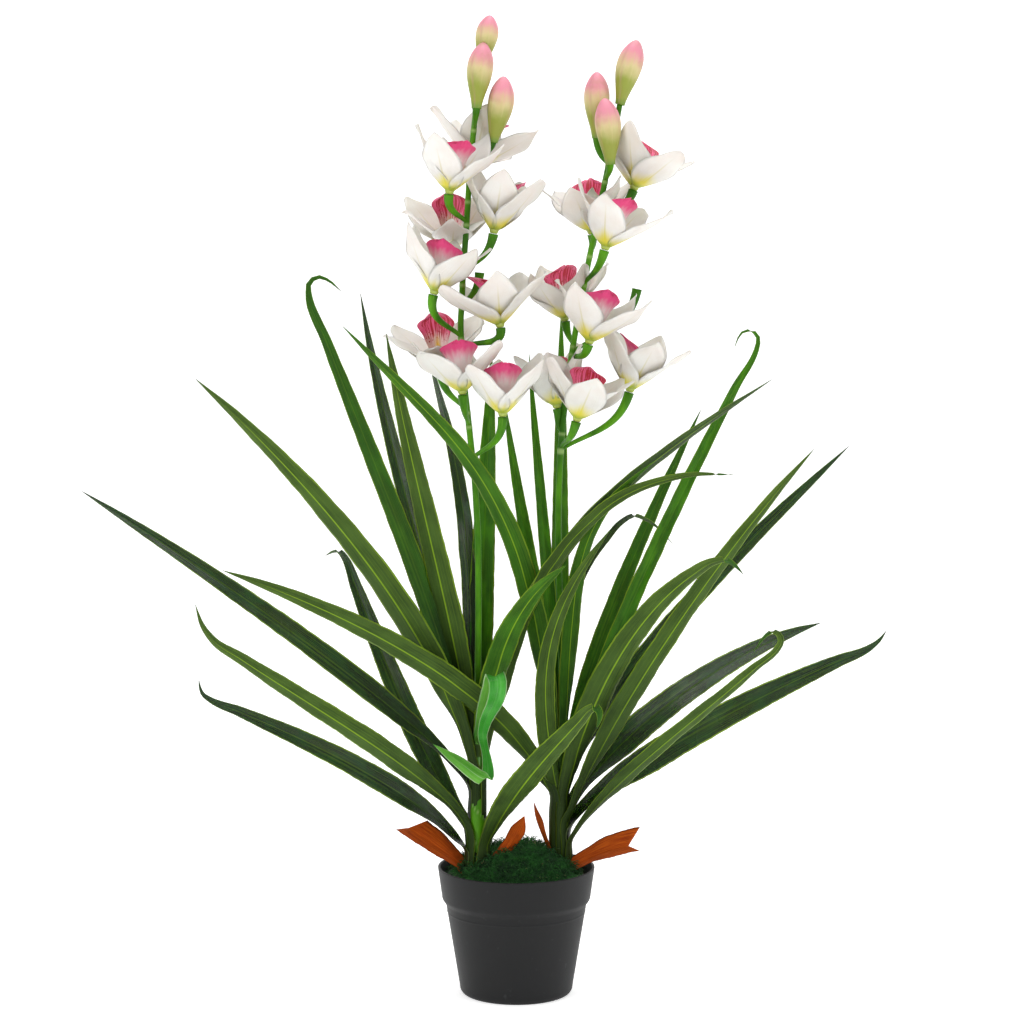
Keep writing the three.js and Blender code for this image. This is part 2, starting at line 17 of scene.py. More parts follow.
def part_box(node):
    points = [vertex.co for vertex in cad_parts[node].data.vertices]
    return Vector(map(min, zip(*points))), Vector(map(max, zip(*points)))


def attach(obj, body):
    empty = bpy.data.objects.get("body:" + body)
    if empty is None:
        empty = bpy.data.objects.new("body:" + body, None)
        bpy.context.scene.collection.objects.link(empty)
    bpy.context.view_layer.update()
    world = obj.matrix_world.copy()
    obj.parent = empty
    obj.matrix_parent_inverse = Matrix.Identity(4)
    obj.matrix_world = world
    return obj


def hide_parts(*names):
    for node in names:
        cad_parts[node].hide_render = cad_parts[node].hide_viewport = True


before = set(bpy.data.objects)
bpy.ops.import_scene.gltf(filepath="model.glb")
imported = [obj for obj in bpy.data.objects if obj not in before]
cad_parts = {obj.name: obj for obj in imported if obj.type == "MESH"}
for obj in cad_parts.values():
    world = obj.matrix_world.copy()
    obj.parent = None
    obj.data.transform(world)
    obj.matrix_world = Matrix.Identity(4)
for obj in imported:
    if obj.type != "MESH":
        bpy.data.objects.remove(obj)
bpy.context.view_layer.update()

MM = 0.001
UP = np.array([0.0, 0.0, 1.0])
FRONT = np.array([0.0, -1.0, 0.0])
SIDES = ("left", "right")

# ---- driving sizes: metres, degrees, or shares of a whole ----

CAMERA = {"distance": 2.401, "height": 0.665, "aim": 0.45, "aside": -0.004, "lens": 92, "sensor": 36}
STAGE = {"half_width": 7.0, "front": -7.0, "back": 3.4, "sweep": 1.2, "top": 8.0}
POT = {
    "rim": 73 * MM, "band_foot": 69 * MM, "body_top": 65.5 * MM, "body_foot": 53 * MM, "foot": 50 * MM,
    "band": 30 * MM, "step": 5 * MM, "foot_step": 8 * MM, "line": 7 * MM, "raised": 0.35 * MM,
    "wall": 2.2 * MM, "floor": 3 * MM, "round": 1.6 * MM, "sides": 128,
}
SHOOT = {"steps": 60, "sides": 48, "widest": 0.57, "slim": 0.5, "swell": 0.28, "turns": 5.5, "step": 0.07,
         "sunk": 0.04}
LEAF = {
    "steps": 96, "across": 13, "thick": 0.45 * MM, "thin_tip": 0.45, "rib": 0.5 * MM, "rib_width": 0.13,
    "fold": 0.2, "front": 0.62, "wave": 0.55 * MM, "ripple": 52 * MM, "nick": 0.012, "sheath": True,
}
BRACT = {
    "steps": 34, "across": 15, "thick": 0.4 * MM, "thin_tip": 0.45, "rib": 0.5 * MM, "rib_width": 0.13,
    "fold": 0.34, "front": 0.0, "wave": 0.35 * MM, "ripple": 30 * MM, "nick": 0.01, "sheath": False,
}
FLATTEST = 0.12  # the least bend across a blade, in radians from its middle to its edge
CUT_FROM = 0.7  # the share of a bract's length where its shaped end begins
# Painted shade and painted light on whole leaves: the first kind is a darker, glossier copy of the leaf colour
# that paints shade, the second a lighter copy that paints light; leaves not listed are plain.
LEAF_KINDS = {
    "glossy_painted_shade": {"left": (5, 6, 8, 12, 13, 15), "right": (7, 11, 14, 15)},
    "painted_light": {"left": (1, 2, 10), "right": (1, 2, 3, 4, 5, 6)},
    "vivid": {"left": (11,), "right": ()},
}
FOLD = {
    "leaf": "left_leaf_11", "half": 6.5 * MM, "replaced": 28 * MM,
    "down": np.array([-9, 0, -13]) * MM, "back": np.array([-46, 4, 31]) * MM,
}
BRACT_FOOT = {"out": 7 * MM, "front": 13 * MM, "height": 115 * MM, "narrow": 0.7, "pointed": 1.6}
SHEATH = {"foot": 112 * MM, "inner": 7 * MM, "nest": 0.06, "wide": 0.8, "fade": 110 * MM, "rows": 14 * MM,
          "gap": 10 * MM}
SEPAL = {"length": 66 * MM, "width": 36 * MM, "stand": 3.2 * MM, "low": 3 * MM, "turns": (180, 46, -46)}
PETAL = {"length": 62 * MM, "width": 38 * MM, "stand": 2.4 * MM, "low": 5.5 * MM, "turns": (112, -112)}
TEPAL = {
    "steps": 26, "across": 13, "bend": 6 * MM, "twist": 0.25, "foot": 0.24, "cup": 0.42, "uncup": 0.5,
    "ruffle": 2.2 * MM, "fine_ruffle": 0.9 * MM, "groove": 0.35 * MM, "thick": 0.42 * MM, "edge": 0.06 * MM,
}
PETAL_OPEN = 0.9  # the petals open a little less than the sepals
USUAL_OPEN = 52  # for a flower whose sepal tips are all cut
LIP = {
    "length": 47 * MM, "half": 15 * MM, "steps": 34, "across": 49, "foot": 3 * MM, "low": 5 * MM,
    "out": 12 * MM, "flare": 6 * MM, "droop": 2 * MM, "frill": 1.3 * MM, "fine_frill": 0.8 * MM,
    "nicks": 0.3 * MM, "lobe": 5 * MM, "side_droop": 4 * MM, "thick": 0.4 * MM, "edge": 0.05 * MM,
    "keel": 0.9 * MM,
}
COLUMN = {"steps": 20, "sides": 16, "radius": 2.3 * MM, "low": 5 * MM, "length": 18.5 * MM}
# radii and heights of the swelling under a flower, in millimetres
CALYX = [(2.8, 0.0), (3.4, 0.6), (4.0, 2.0), (4.4, 4.0), (4.4, 6.0), (3.8, 7.6), (2.4, 8.4)]
STEM = {"radius": 2.9 * MM, "sides": 20, "ring": 0.35 * MM, "ring_below": 3 * MM, "rows": 240}
STALK = {"thin": 1.9 * MM, "thick": 4.6 * MM, "bud_thick": 3.9 * MM, "steps": 26, "tests": 14}
BUD = {
    "count": 3, "length": 60 * MM, "steps": 36, "sides": 36, "wide": 11.8 * MM, "widest": 0.62,
    "foot": 0.38, "bow": 1.6 * MM,
}
LIGHTS = {  # place, width and power in watts
    "left_soft_light": ((-2.0, -2.0, 1.6), 1.4, 26),
    "right_soft_light": ((2.2, -1.5, 1.3), 1.4, 18),
    "top_soft_light": ((0.2, 0.1, 2.6), 1.6, 26),
}
SKY = 0.42  # the strength of the white light from all round
MOSS = {"strand": 8 * MM, "density": 420000.0, "seed": 7, "clear": 0.88, "knobs": 46, "knob": 3.2 * MM,
        "spokes": 72, "steps": 22, "sunk": 2 * MM}

# ---- reading the frame ----


def merged(node):
    """A node's corners, each once, and which corners each one is joined to."""
    mesh = bmesh.new()
    mesh.from_mesh(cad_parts[node].data)
    bmesh.ops.remove_doubles(mesh, verts=mesh.verts, dist=1e-6)
    mesh.verts.index_update()
    points = [np.array(v.co) for v in mesh.verts]
    links = [{e.other_vert(v).index for e in v.link_edges} for v in mesh.verts]
    mesh.free()
    return points, links


def unit(v):
    length = np.linalg.norm(v)
    return v / length if length > 1e-12 else v


def span(a, b):
    return float(np.linalg.norm(a - b))


def mixed(a, b, share):
    return a + (b - a) * share


def distances(path):
    """How far along a path each of its points lies."""
    return np.concatenate([[0], np.cumsum(np.linalg.norm(np.diff(path, axis=0), axis=1))])


def smooth(rows, count):
    """`count` rows evenly along a smooth curve through rows, whose first three numbers are a place."""
    rows = np.array(rows, float)
    at = distances(rows[:, :3])
    slope = np.gradient(rows, at, axis=0)
    s = np.linspace(0, at[-1], count)
    k = np.clip(np.searchsorted(at, s, side="right") - 1, 0, len(at) - 2)
    step = (at[k + 1] - at[k])[:, None]
    t = (s - at[k])[:, None] / step
    start = (2 * t**3 - 3 * t**2 + 1) * rows[k] + (t**3 - 2 * t**2 + t) * step * slope[k]
    end = (3 * t**2 - 2 * t**3) * rows[k + 1] + (t**3 - t**2) * step * slope[k + 1]
    return start + end


def shoot_axis(side):
    low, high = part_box(f"{side}_shoot")
    return np.array([(low.x + high.x) / 2, (low.y + high.y) / 2, low.z]), high.z


def cut_points(points, links, height):
    """Where a level plane crosses the node's edges."""
    found = []
    for i, near in enumerate(links):
        for j in near:
            a, b = points[i], points[j]
            if i < j and (a[2] - height) * (b[2] - height) < 0:
                found.append(a + (b - a) * (height - a[2]) / (b[2] - a[2]))
    return found


def ring_row(ring):
    """The centre and the half-width vector of a blade's ring of four corners."""
    a, b = max(combinations(range(4), 2), key=lambda p: span(ring[p[0]], ring[p[1]]))
    flats = [ring[k] for k in range(4) if k not in (a, b)]
    centre = (flats[0] + flats[1]) / 2
    return centre, (ring[a] - ring[b]) / 2, (ring[a] + ring[b]) / 2 - centre


def rings_from(points, links, tip):
    """The rings of four corners that follow one another from a blade's tip."""
    found = []
    seen = level = {tip}
    while True:
        level = set().union(*(links[i] for i in level)) - seen
        if len(level) != 4:
            return found
        seen = seen | level
        found.append(ring_row([points[i] for i in level]))


def section(corners, edges, centre, along, reach):
    """The points near `centre` where a plane square to `along` cuts the skin."""
    ahead = (corners - centre) @ along
    a, b = ahead[edges[:, 0]], ahead[edges[:, 1]]
    cut = a * b < 0
    share = (a[cut] / (a[cut] - b[cut]))[:, None]
    low, high = corners[edges[cut, 0]], corners[edges[cut, 1]]
    places = low + (high - low) * share
    return places[np.linalg.norm(places - centre, axis=1) < reach]


def follow(points, links, found, foot):
    """Goes on down a blade past the notches that its neighbours cut, section by section, to its shoot."""
    corners = np.array(points)
    edges = np.array([(i, j) for i, near in enumerate(links) for j in near if i < j])
    stride, missed = 8 * MM, 0
    centre, half, rise = found[-1]
    along = unit(centre - found[-2][0])
    rows = []
    while math.hypot(*(centre - foot)[:2]) > 9 * MM and missed < 9:
        ahead = centre + along * stride
        side = unit(half - along * np.dot(half, along))
        face = unit(rise - along * np.dot(rise, along) - side * np.dot(rise, side))
        wide = np.linalg.norm(half)
        places = section(corners, edges, ahead, along, 1.5 * wide)
        reaches = (places - ahead) @ side if len(places) > 2 else np.zeros(1)
        if np.ptp(reaches) > 1.55 * wide:
            heights = (places - ahead) @ face
            middle = (reaches.max() + reaches.min()) / 2
            sunk = heights[[reaches.argmax(), reaches.argmin()]].mean() - 0.2 * wide
            ahead = ahead + side * middle + face * sunk
            wide, missed = 0.7 * wide + 0.3 * np.ptp(reaches) / 2, 0
        else:
            missed += 1
        along = unit(0.55 * along + 0.45 * unit(ahead - centre))
        centre, half, rise = ahead, side * wide, face
        rows.append((centre, half, rise, missed))
    kept = len(rows) - (rows[-1][3] if rows else 0)
    return [row[:3] for row in rows[:kept]]


def blade_rows(node, side_name):
    """A blade's spine from its foot to its tip: rows of a place and a half-width vector."""
    points, links = merged(node)
    foot, _ = shoot_axis(side_name)
    ends = [i for i in range(len(points)) if len(links[i]) == 4]
    tip = max(ends, key=lambda i: (len(rings_from(points, links, i)), points[i][2]))
    found = rings_from(points, links, tip)
    if len(found) > 1:
        found += follow(points, links, found, foot)[1::2]
    rows = [np.concatenate([points[tip], found[0][1] * 0.02])]
    side = found[0][1]
    for centre, half, _ in found:
        side = half if np.dot(half, side) > 0 else -half
        rows.append(np.concatenate([centre, side]))
    rows.reverse()
    facing = np.dot(np.cross(found[0][0] - found[1][0], rows[-2][3:]), found[0][2])
    if facing < 0:
        for row in rows:
            row[3:] *= -1
    return rows


def sheathed(rows, side_name, widest):
    """Rows for the sheath that wraps the shoot below a leaf, put before the leaf's own rows."""
    foot, top = shoot_axis(side_name)
    start = rows[0][:3]
    out = unit(np.array([*(rows[min(3, len(rows) - 1)][:2] - foot[:2]), 0.0]))
    radius = SHEATH["inner"] + SHEATH["nest"] * (top - min(start[2], top))
    aside = np.cross(UP, out)
    half = widest * SHEATH["wide"]
    under = min(start[2] - SHEATH["gap"], top)
    count = max(3, int((under - SHEATH["foot"]) / SHEATH["rows"]))
    wraps = []
    for height in np.linspace(SHEATH["foot"], under, count):
        place = np.array([foot[0], foot[1], height]) + out * radius
        wraps.append(np.concatenate([place, aside * half]))
    return wraps, radius


def apexes(points, links, count, low, high):
    """Points whose `count` neighbours all lie equally far away, between two distances."""
    found = []
    for i, near in enumerate(links):
        if len(near) != count:
            continue
        gaps = [span(points[j], points[i]) for j in near]
        if max(gaps) - min(gaps) < 0.2 * MM and low < gaps[0] < high:
            inner = unit(np.mean([points[j] for j in near], axis=0) - points[i])
            found.append((points[i], inner, near, i))
    return found


# ---- meshes ----


def placed(name, data):
    """A new object in the scene."""
    piece = bpy.data.objects.new(name, data)
    bpy.context.scene.collection.objects.link(piece)
    return piece


class Shape:
    """Corners, faces, finish numbers and a pattern vector for each corner, gathered into one mesh."""

    def __init__(self):
        self.corners, self.faces, self.finishes, self.pattern = [], [], [], []

    def rings(self, rings, pattern, finish=0, last=None):
        """A skin over rings of points, closed by its first ring and by its last ring or one last point."""
        rings = np.array(rings)
        pattern = np.array(pattern)
        count, size = rings.shape[:2]
        start = len(self.corners)
        self.corners.extend(rings.reshape(-1, 3))
        self.pattern.extend(pattern.reshape(-1, 3))
        faces = []
        for r in range(count - 1):
            for k in range(size):
                a = start + r * size + k
                b = start + r * size + (k + 1) % size
                faces.append((a, b, b + size, a + size))
        faces.append(tuple(reversed(range(start, start + size))))
        ring = list(range(start + (count - 1) * size, start + count * size))
        if last is None:
            faces.append(tuple(ring))
        else:
            tip = len(self.corners)
            self.corners.append(last)
            self.pattern.append(pattern[-1].mean(axis=0))
            faces.extend((tip, ring[k], ring[(k + 1) % size]) for k in range(size))
        self.faces.extend(faces)
        self.finishes.extend([finish] * len(faces))

    def object(self, name, finishes, pattern_name):
        mesh = bpy.data.meshes.new(name)
        mesh.from_pydata([tuple(c) for c in self.corners], [], self.faces)
        mesh.polygons.foreach_set("material_index", self.finishes)
        mesh.polygons.foreach_set("use_smooth", [True] * len(self.faces))
        store = mesh.attributes.new(pattern_name, "FLOAT_VECTOR", "POINT")
        store.data.foreach_set("vector", np.array(self.pattern, np.float32).ravel())
        for finish in finishes:
            mesh.materials.append(finish)
        mesh.validate()
        shape = bmesh.new()
        shape.from_mesh(mesh)
        bmesh.ops.recalc_face_normals(shape, faces=shape.faces)
        shape.to_mesh(mesh)
        shape.free()
        return placed(name, mesh)


def belongs(piece, node):
    """Puts a finished piece in its node's place."""
    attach(piece, "root")
    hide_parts(node)


def tube_frames(path):
    """At each point of a path: its direction, and two directions square to it that turn little."""
    along = np.gradient(path, axis=0)
    along = along / np.linalg.norm(along, axis=1)[:, None]
    side = unit(np.cross(along[0], [0.3, 1.0, 0.2]))
    frames = []
    for t in along:
        side = unit(side - t * np.dot(side, t))
        frames.append((t, side, np.cross(t, side)))
    return frames


def tube_rings(path, radii, sides):
    """Round rings square to a path."""
    rings = []
    for p, r, (t, a, b) in zip(path, radii, tube_frames(path)):
        turns = np.linspace(0, 2 * math.pi, sides, endpoint=False)
        rings.append([p + r * (a * math.cos(q) + b * math.sin(q)) for q in turns])
    return rings


# ---- finishes ----


def new_node(tree, kind, settings, inputs):
    """A node with its settings; an input is a value, a wire or a socket."""
    node = tree.nodes.new(kind)
    for key, value in (settings or {}).items():
        setattr(node, key, value)
    for key, value in (inputs or {}).items():
        value = getattr(value, "socket", value)
        if isinstance(value, bpy.types.NodeSocket):
            tree.links.new(value, node.inputs[key])
        else:
            node.inputs[key].default_value = value
    return node


class Wire:
    """A socket's value that takes part in Python sums."""

    def __init__(self, finish, socket):
        self.finish, self.socket = finish, socket

    def maths(self, operation, *values):
        inputs = dict(enumerate(values))
        return self.finish.add("Math", 0, {"operation": operation}, inputs)

    def __add__(self, other):
        return self.maths("ADD", self, other)

    def __sub__(self, other):
        return self.maths("SUBTRACT", self, other)

    def __mul__(self, other):
        return self.maths("MULTIPLY", self, other)

    __radd__ = __add__

    def __abs__(self):
        return self.maths("ABSOLUTE", self)

    def band(self, low, high):
        """0 below `low`, 1 above `high`, with a smooth rise; the other way round if low is the greater."""
        ends = {"Value": self, "From Min": low, "From Max": high}
        return self.finish.add("MapRange", 0, {"interpolation_type": "SMOOTHSTEP"}, ends)


class Finish:
    """A material whose nodes are added one by one."""

    def __init__(self, name):
        self.material = bpy.data.materials.new(name)
        self.material.use_nodes = True
        self.tree = self.material.node_tree
        self.tree.nodes.clear()

    def add(self, kind, output, settings=None, inputs=None):
        node = new_node(self.tree, "ShaderNode" + kind, settings, inputs)
        return Wire(self, node.outputs[output])

    def pattern(self, name):
        """The three numbers of the piece's own pattern."""
        vector = self.add("Attribute", "Vector", {"attribute_name": name})
        parts = self.add("SeparateXYZ", 0, inputs={0: vector})
        outputs = parts.socket.node.outputs
        return [Wire(self, outputs[k]) for k in range(3)]

    def place(self, scale=(1, 1, 1)):
        """The piece's own Object coordinates, stretched."""
        place = self.add("TexCoord", "Object")
        return self.add("Mapping", 0, inputs={"Vector": place, "Scale": scale})

    def joined(self, x, y, z):
        return self.add("CombineXYZ", 0, inputs={0: x, 1: y, 2: z})

    def noise(self, where, scale, detail=3.0, rough=0.55):
        inputs = {"Vector": where, "Scale": scale, "Detail": detail, "Roughness": rough}
        return self.add("TexNoise", 0, inputs=inputs)

    def mix(self, share, *colours):
        """One colour over another; each is a wire or a six-digit screen code."""
        a, b = (tone(colour) if isinstance(colour, str) else colour for colour in colours)
        return self.add("Mix", 2, {"data_type": "RGBA", "clamp_factor": True}, {0: share, 6: a, 7: b})

    def bump(self, height, strength, distance=0.001):
        inputs = {"Height": height, "Strength": strength, "Distance": distance}
        return self.add("Bump", 0, inputs=inputs)

    def made(self, colour, rough, normal, glow=0.0, scatter=(0.005, 0.005, 0.005), shining=0.0, gloss=0.5):
        """The finished material; `glow` is the share of light that passes into the piece."""
        shader = self.add("BsdfPrincipled", 0, inputs={
            "Base Color": colour, "Roughness": rough, "Normal": normal, "Specular IOR Level": gloss,
            "Subsurface Weight": glow, "Subsurface Radius": scatter, "Subsurface Scale": 1.0,
            "Emission Color": (1, 1, 1, 1), "Emission Strength": shining})
        output = self.tree.nodes.new("ShaderNodeOutputMaterial")
        self.tree.links.new(shader.socket, output.inputs["Surface"])
        return self.material


def tone(code):
    """A colour given as a six-digit screen code, in linear light."""
    parts = [int(code[k : k + 2], 16) / 255 for k in (0, 2, 4)]
    return tuple(c / 12.92 if c < 0.04045 else ((c + 0.055) / 1.055) ** 2.4 for c in parts) + (1.0,)


def leaf_finish(name, upper, upper_light, lower, lower_light, rib, edge, shine, gloss):
    """Glossy upper face, matt lower face, pale midrib and edges, fine veins that run along the blade, and
    painted shade at the foot.
    """
    m = Finish(name)
    across, along, under = m.pattern("blade")
    out = abs(across)
    cloud = m.noise(m.joined(across * 0.6, along * 9.0, under * 3.0), 1.6, 4.0)
    vein = m.noise(m.joined(across * 34.0, along * 3.0, under * 7.0), 1.0, 2.0)
    patch = m.noise(m.place((1, 1, 0.35)), 26.0, 3.0)
    top = m.mix(cloud.band(0.35, 0.72) * 0.75, upper, upper_light)
    bottom = m.mix(cloud.band(0.3, 0.7) * 0.8 + vein.band(0.4, 0.8) * 0.15, lower, lower_light)
    colour = m.mix(under, top, bottom)
    colour = m.mix(vein.band(0.45, 0.75) * 0.22, colour, rib)
    rib_share = out.band(0.075, 0.02) * (0.14 + under * 0.66) * along.band(0.995, 0.8)
    colour = m.mix(rib_share, colour, rib)
    edge_share = out.band(0.86, 0.95) * (0.4 + patch.band(0.35, 0.6) * 0.5)
    colour = m.mix(edge_share, colour, edge)
    # painted shade: each blade is darkened towards its foot, where it lies in the shade of the other leaves
    colour = m.mix(along.band(0.55, 0.08) * 0.7, colour, "0f1d05")
    rough = shine + under * 0.2 + patch.band(0.3, 0.75) * 0.12
    pucker = m.noise(m.joined(across * 3.0, along * 40.0, under), 1.0, 2.0)
    height = vein * 0.5 + pucker * 0.35
    normal = m.bump(height, 0.35, 0.0012)
    return m.made(colour, rough, normal, 0.04, (0.004, 0.006, 0.002), gloss=gloss)


# Painted shade and painted light: the first kind's darker tones and the third kind's lighter tones paint whole
# leaves as shaded or lit.
LEAF_TONES = {  # upper and lower face, each with its lights, then midrib, edge, roughness and gloss
    "glossy_painted_shade": ("08180e", "12321c", "172c10", "284218", "84a81e", "8aac28", 0.17, 0.34),
    "plain": ("173c0a", "295c10", "2b4017", "3f5a22", "84a81e", "8aac28", 0.36, 0.14),
    "painted_light": ("1e5203", "3d8409", "204a05", "366c0c", "84a81e", "8aac28", 0.3, 0.16),
    "vivid": ("23841a", "42a630", "3a8016", "60a430", "a4cf92", "c0dca4", 0.3, 0.2),
}


def tepal_finish():
    m = Finish("white_petal")
    across, along, outer = m.pattern("bloom")
    out = abs(across)
    streak = m.noise(m.joined(across * 13.0, along * 1.6, outer * 5.0), 1.0, 3.0)
    vein = m.noise(m.joined(across * 34.0, along * 1.2, outer * 3.0), 1.0, 2.0)
    cloud = m.noise(m.place(), 48.0, 3.0)
    colour = m.mix(cloud.band(0.32, 0.7) * 0.8, "e6e4de", "dbd7ce")
    colour = m.mix(streak.band(0.48, 0.8) * 0.25, colour, "dcd6cb")
    colour = m.mix(vein.band(0.55, 0.75) * 0.14, colour, "cdbfb4")
    colour = m.mix(outer * along.band(0.3, 0.9) * cloud.band(0.35, 0.6) * 0.3, colour, "f3e2de")
    line = out.band(0.07, 0.01) * along.band(0.86, 0.4) * 0.4
    colour = m.mix(line, colour, "c3b866")
    wedge = along + out * 0.26 + streak * 0.16 - 0.08
    colour = m.mix(wedge.band(0.46, 0.15) * 0.95, colour, "ddd02e")
    colour = m.mix(along.band(0.13, 0.02) * 0.8, colour, "93ad2c")
    height = streak * 0.6 + vein * 0.4
    rough = 0.42 + cloud.band(0.3, 0.8) * 0.14
    return m.made(colour, rough, m.bump(height, 0.45, 0.001), 0.16, (0.006, 0.005, 0.0035))


def lip_finish():
    m = Finish("pink_lip")
    across, along, outer = m.pattern("bloom")
    out = abs(across)
    fray = m.noise(m.joined(across * 6.0, along * 3.0, 0.0), 1.0, 3.0)
    stripes = m.noise(m.joined(across * 17.0, along * 2.0, 4.0), 1.0, 2.0)
    spots = m.noise(m.place(), 420.0, 1.0)
    margin = along + fray * 0.28 - 0.14 + out * 0.05
    outside = m.mix(margin.band(0.5, 0.86), "f8e6e6", "ee4c8a")
    outside = m.mix(margin.band(0.88, 1.0) * 0.6, outside, "d92f6c")
    inside = m.mix(margin.band(0.45, 0.72), "f8dcdf", "ea5a8a")
    red = stripes.band(0.46, 0.54) * along.band(0.3, 0.6)
    red = red + spots.band(0.6, 0.68) * along.band(0.2, 0.4) * 0.7
    inside = m.mix(red * 0.95, inside, "b3122a")
    inside = m.mix(margin.band(0.93, 1.02), inside, "e8648c")
    inside = m.mix(out.band(0.28, 0.05) * along.band(0.62, 0.3), inside, "e9c63a")
    colour = m.mix(outer, inside, outside)
    colour = m.mix(along.band(0.2, 0.0) * 0.7, colour, "dccf4e")
    height = stripes * 0.6 + fray * 0.4
    return m.made(colour, 0.42 + fray * 0.12, m.bump(height, 0.45, 0.001), 0.1, (0.006, 0.002, 0.002))


def column_finish():
    m = Finish("cream_column")
    across, along, _ = m.pattern("bloom")
    grain = m.noise(m.place(), 500.0, 2.0)
    colour = m.mix(along.band(0.6, 0.85), "f4ead0", "efc24a")
    colour = m.mix(grain.band(0.58, 0.68) * along.band(0.2, 0.5) * 0.4, colour, "c8443e")
    return m.made(colour, 0.42 + grain * 0.12, m.bump(grain, 0.2, 0.0005), 0.15, (0.006, 0.004, 0.002))


def stem_finish():
    m = Finish("green_stem")
    around, along, joint = m.pattern("stem")
    fibre = m.noise(m.joined(around * 9.0, along * 14.0, 0.0), 1.0, 3.0)
    cloud = m.noise(m.place((1, 1, 0.4)), 45.0, 3.0)
    colour = m.mix(cloud.band(0.3, 0.72), "2c6403", "579a0c")
    colour = m.mix(fibre.band(0.5, 0.8) * 0.35, colour, "74a626")
    colour = m.mix(joint * 0.75, colour, "a8c47a")
    rough = 0.4 + fibre * 0.15
    return m.made(colour, rough, m.bump(fibre, 0.35, 0.001), 0.04, (0.003, 0.005, 0.002), gloss=0.2)


def bud_finish():
    m = Finish("pink_bud")
    around, along, seam = m.pattern("stem")
    streak = m.noise(m.joined(around * 13.0, along * 2.0, 1.0), 1.0, 3.0)
    patch = m.noise(m.place(), 55.0, 3.0)
    level = along + patch * 0.3 + streak * 0.12 - 0.2
    colour = m.mix(level.band(0.3, 0.62), "8f9a34", "d3c48c")
    colour = m.mix(level.band(0.55, 0.85), colour, "e390a2")
    colour = m.mix(patch.band(0.5, 0.7) * 0.25, colour, "9c9340")
    colour = m.mix(along.band(0.12, 0.0), colour, "6f9230")
    colour = m.mix(seam * 0.35, colour, "b8837a")
    height = streak * 0.7 + patch * 0.3
    return m.made(colour, 0.42 + streak * 0.12, m.bump(height, 0.3, 0.0008), 0.15, (0.008, 0.005, 0.003))


def bract_finish():
    m = Finish("brown_bract")
    across, along, under = m.pattern("blade")
    fibre = m.noise(m.joined(across * 22.0, along * 3.0, under), 1.0, 4.0)
    patch = m.noise(m.place(), 70.0, 4.0)
    colour = m.mix(fibre.band(0.35, 0.7), "9a3a06", "c65c12")
    colour = m.mix(patch.band(0.5, 0.75) * 0.5, colour, "6a2a0c")
    colour = m.mix(abs(across).band(0.9, 1.0) * 0.6, colour, "5b230c")
    colour = m.mix(along.band(0.3, 0.0) * 0.5, colour, "5a240c")
    height = fibre * 0.8 + patch * 0.3
    return m.made(colour, 0.62 + patch * 0.2, m.bump(height, 0.5, 0.0012), gloss=0.12)


def pot_finish():
    m = Finish("black_plastic")
    grain = m.noise(m.place(), 900.0, 2.0)
    smear = m.noise(m.place((1, 1, 0.5)), 14.0, 4.0)
    colour = m.mix(smear.band(0.4, 0.75), "08090a", "0e0f11")
    dust = m.noise(m.place(), 160.0, 3.0).band(0.64, 0.8)
    colour = m.mix(dust * 0.12, colour, "55585a")
    rough = 0.52 + smear.band(0.3, 0.8) * 0.1
    return m.made(colour, rough, m.bump(grain, 0.18, 0.0004), gloss=0.3)


def moss_finish():
    m = Finish("moss_strands")
    cloud = m.noise(m.place(), 85.0, 4.0)
    speck = m.noise(m.place(), 260.0, 2.0)
    colour = m.mix(cloud.band(0.35, 0.7), "0c3a10", "1d5f1a")
    colour = m.mix(speck.band(0.55, 0.7) * 0.5, colour, "3f8c2c")
    colour = m.mix(m.noise(m.place(), 130.0, 2.0).band(0.68, 0.74) * 0.8, colour, "8f8c5e")
    return m.made(colour, 0.75 + speck * 0.2, m.bump(speck, 0.4, 0.0008))


def soil_finish():
    m = Finish("potting_mix")
    lump = m.noise(m.place(), 180.0, 5.0)
    colour = m.mix(lump.band(0.4, 0.65), "2a1d12", "5a4028")
    return m.made(colour, 0.9 + lump * 0.05, m.bump(lump, 0.8, 0.003))


# ---- leaves and bracts ----


def leaf_kind(side, number):
    for kind, chosen in LEAF_KINDS.items():
        if number in chosen[side]:
            return kind
    return "plain"


